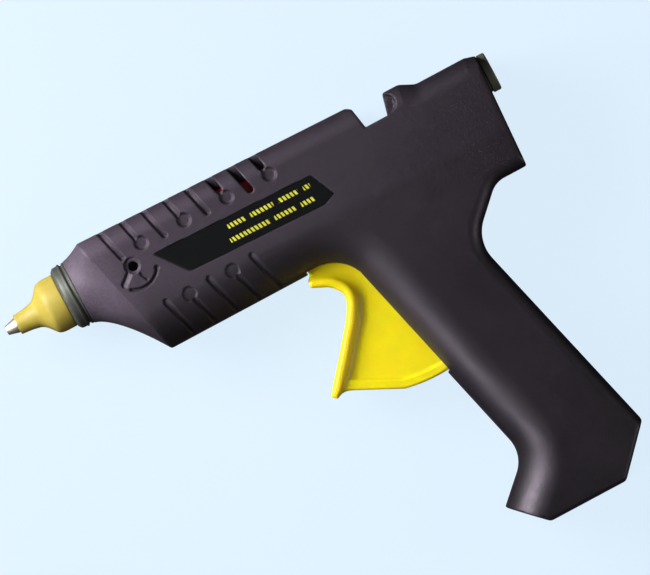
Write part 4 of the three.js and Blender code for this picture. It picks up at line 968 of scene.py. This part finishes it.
def make_finishes():
    """Every material slot of the record with its finish."""
    p, m = plastic_finish, metal_finish
    return {
        "casing": casing_finish(),
        "label": label_finish(),
        "screw_steel": m("screw steel", linear(176, 178, 180), linear(120, 118, 112), 0.32),
        "tip_metal": m("tip metal", linear(214, 210, 192), linear(168, 162, 144), 0.44, (6, 1, 1)),
        "yellow_silicone": p("yellow silicone", linear(166, 150, 68), linear(155, 135, 46), 0.5,
                             0.012, 0.35, 0.1),
        "ring_metal": m("ring metal", linear(92, 94, 88), linear(62, 62, 58), 0.5, (8, 1, 1),
                        metallic=0.6),
        "cast_aluminium": m("cast aluminium", linear(176, 176, 178), linear(128, 126, 124), 0.5,
                            grain=0.05),
        "insulation_film": film_finish(),
        "ceramic": p("heater ceramic", linear(196, 188, 172), linear(160, 150, 134), 0.7, 0.04),
        "brass_sheet": m("brass sheet", linear(206, 172, 96), linear(150, 116, 60), 0.34),
        "red_silicone": p("red silicone", linear(205, 52, 40), linear(170, 36, 30), 0.55, 0.03, 0.35),
        "spring_steel": m("spring steel", linear(150, 148, 144), linear(96, 92, 86), 0.3, (1, 6, 6)),
        "black_plastic": p("black plastic", linear(40, 40, 42), linear(28, 28, 30), 0.48, 0.03),
        "yellow_plastic": p("yellow plastic", linear(224, 207, 14), linear(216, 196, 8), 0.4, 0.02,
                            0.4, 0.4, 5.0),
        "olive_metal": m("olive metal", linear(96, 98, 80), linear(72, 84, 66), 0.58, (8, 1, 1),
                         metallic=0.3),
        "white_plastic": p("white plastic", linear(222, 220, 210), linear(204, 198, 184), 0.45),
        "brown_insulation": p("brown lead", linear(104, 60, 34), linear(84, 46, 26), 0.45),
        "blue_insulation": p("blue lead", linear(42, 74, 150), linear(30, 56, 120), 0.45),
    }


# Floor, world and lamps

BACKGROUND = linear(223, 241, 255)
FLOOR_HALF = 4000.0
FLOOR_LEVEL = -0.05
FLOOR_GLOW = 0.93
WORLD_LEVEL = 0.06


def pale_seen(finish, diffuse, share):
    """Blends a diffuse floor with a plain glow of the background's colour that only the camera
    sees, so the shadow stays and nothing is lit by it."""
    camera = finish.node("LightPath", {}, {}, "Is Camera Ray")
    glow = finish.node("Emission", {}, {"Color": BACKGROUND, "Strength": 1.0})
    return finish.node("MixShader", {}, {0: camera * share, 1: diffuse, 2: glow})


def add_floor():
    """A wide plain sheet just under the gun's lowest face."""
    corners = ((-1, -1), (1, -1), (1, 1), (-1, 1))
    points = np.array([(FLOOR_HALF * x, FLOOR_HALF * y, FLOOR_LEVEL) for x, y in corners]) * MM
    mesh = bpy.data.meshes.new("floor")
    mesh.from_pydata(points.tolist(), [], [(0, 1, 2, 3)])
    floor = bpy.data.objects.new("floor", mesh)
    bpy.context.scene.collection.objects.link(floor)
    f = Finish("floor paper", Roughness=0.9, Specular_IOR_Level=0.1)
    tone = f.blend(f.noise(30, 2, 0.5), linear(226, 238, 248), linear(230, 241, 250))
    camera = f.node("LightPath", {}, {}, "Is Camera Ray")
    f.set("Base Color", f.blend(camera, linear(40, 42, 44), tone))
    diffuse = Value(f, f.shader.outputs[0])
    output = f.tree.nodes["Material Output"]
    f.put(output.inputs["Surface"], pale_seen(f, diffuse, FLOOR_GLOW))
    mesh.materials.append(f.material)


def add_world():
    """A dim even surround that the camera sees in the background's colour."""
    world = bpy.data.worlds.new("studio")
    world.use_nodes = True
    bpy.context.scene.world = world
    world.node_tree.nodes.clear()
    n = Nodes(world.node_tree)
    fill = n.node("Background", {}, {"Color": (0.97, 0.98, 1.0, 1), "Strength": WORLD_LEVEL})
    seen = n.node("Background", {}, {"Color": BACKGROUND, "Strength": 1.0})
    camera = n.node("LightPath", {}, {}, "Is Camera Ray")
    mixed = n.node("MixShader", {}, {0: camera, 1: fill, 2: seen})
    n.node("OutputWorld", {}, {"Surface": mixed})


def add_lamp(name, towards, target, distance, size, power, spread=180):
    """A square soft lamp in a direction from its target, facing it, in metres; spread is the
    angle in degrees that its light is kept to."""
    data = bpy.data.lights.new(name, "AREA")
    data.size = size
    data.energy = power
    data.spread = np.radians(spread)
    lamp = bpy.data.objects.new(name, data)
    heading = Vector(towards).normalized()
    lamp.location = Vector(target) + heading * distance
    lamp.rotation_euler = heading.to_track_quat("Z", "Y").to_euler()
    bpy.context.scene.collection.objects.link(lamp)


def main():
    add_camera()
    make_casing(1, "left_half", "left_casing")
    make_casing(-1, "right_half", "right_casing")
    make_trigger()
    make_turned()
    make_spring()
    finishes = make_finishes()
    slots = {part["node"]: part["material_slot"] for part in frame["record"]["subparts"]}
    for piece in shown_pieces():
        if piece.name in nodes:
            piece.material_slots[0].material = finishes[slots[piece.name]]
        else:
            piece.data.materials.append(finishes[piece["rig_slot"]])
    add_floor()
    add_world()
    add_lamp("key lamp", towards=(-0.64, 0.58, 0.5), target=(-0.02, -0.05, 0.01),
             distance=0.62, size=0.36, power=8.4)
    add_lamp("nose lamp", towards=(-0.9, 0.2, 0.38), target=(-0.09, 0.0, 0.017),
             distance=0.6, size=0.16, power=0.02, spread=12)
    add_lamp("grip lamp", towards=(-0.86, -0.1, 0.47), target=(0.01, -0.11, 0.01),
             distance=0.6, size=0.16, power=0.04, spread=16)
    add_lamp("rear lamp", towards=(0.75, -0.4, 0.5), target=(0.0, -0.07, 0.01),
             distance=0.7, size=0.3, power=1.3)
    bpy.context.scene.view_settings.view_transform = "Standard"


main()
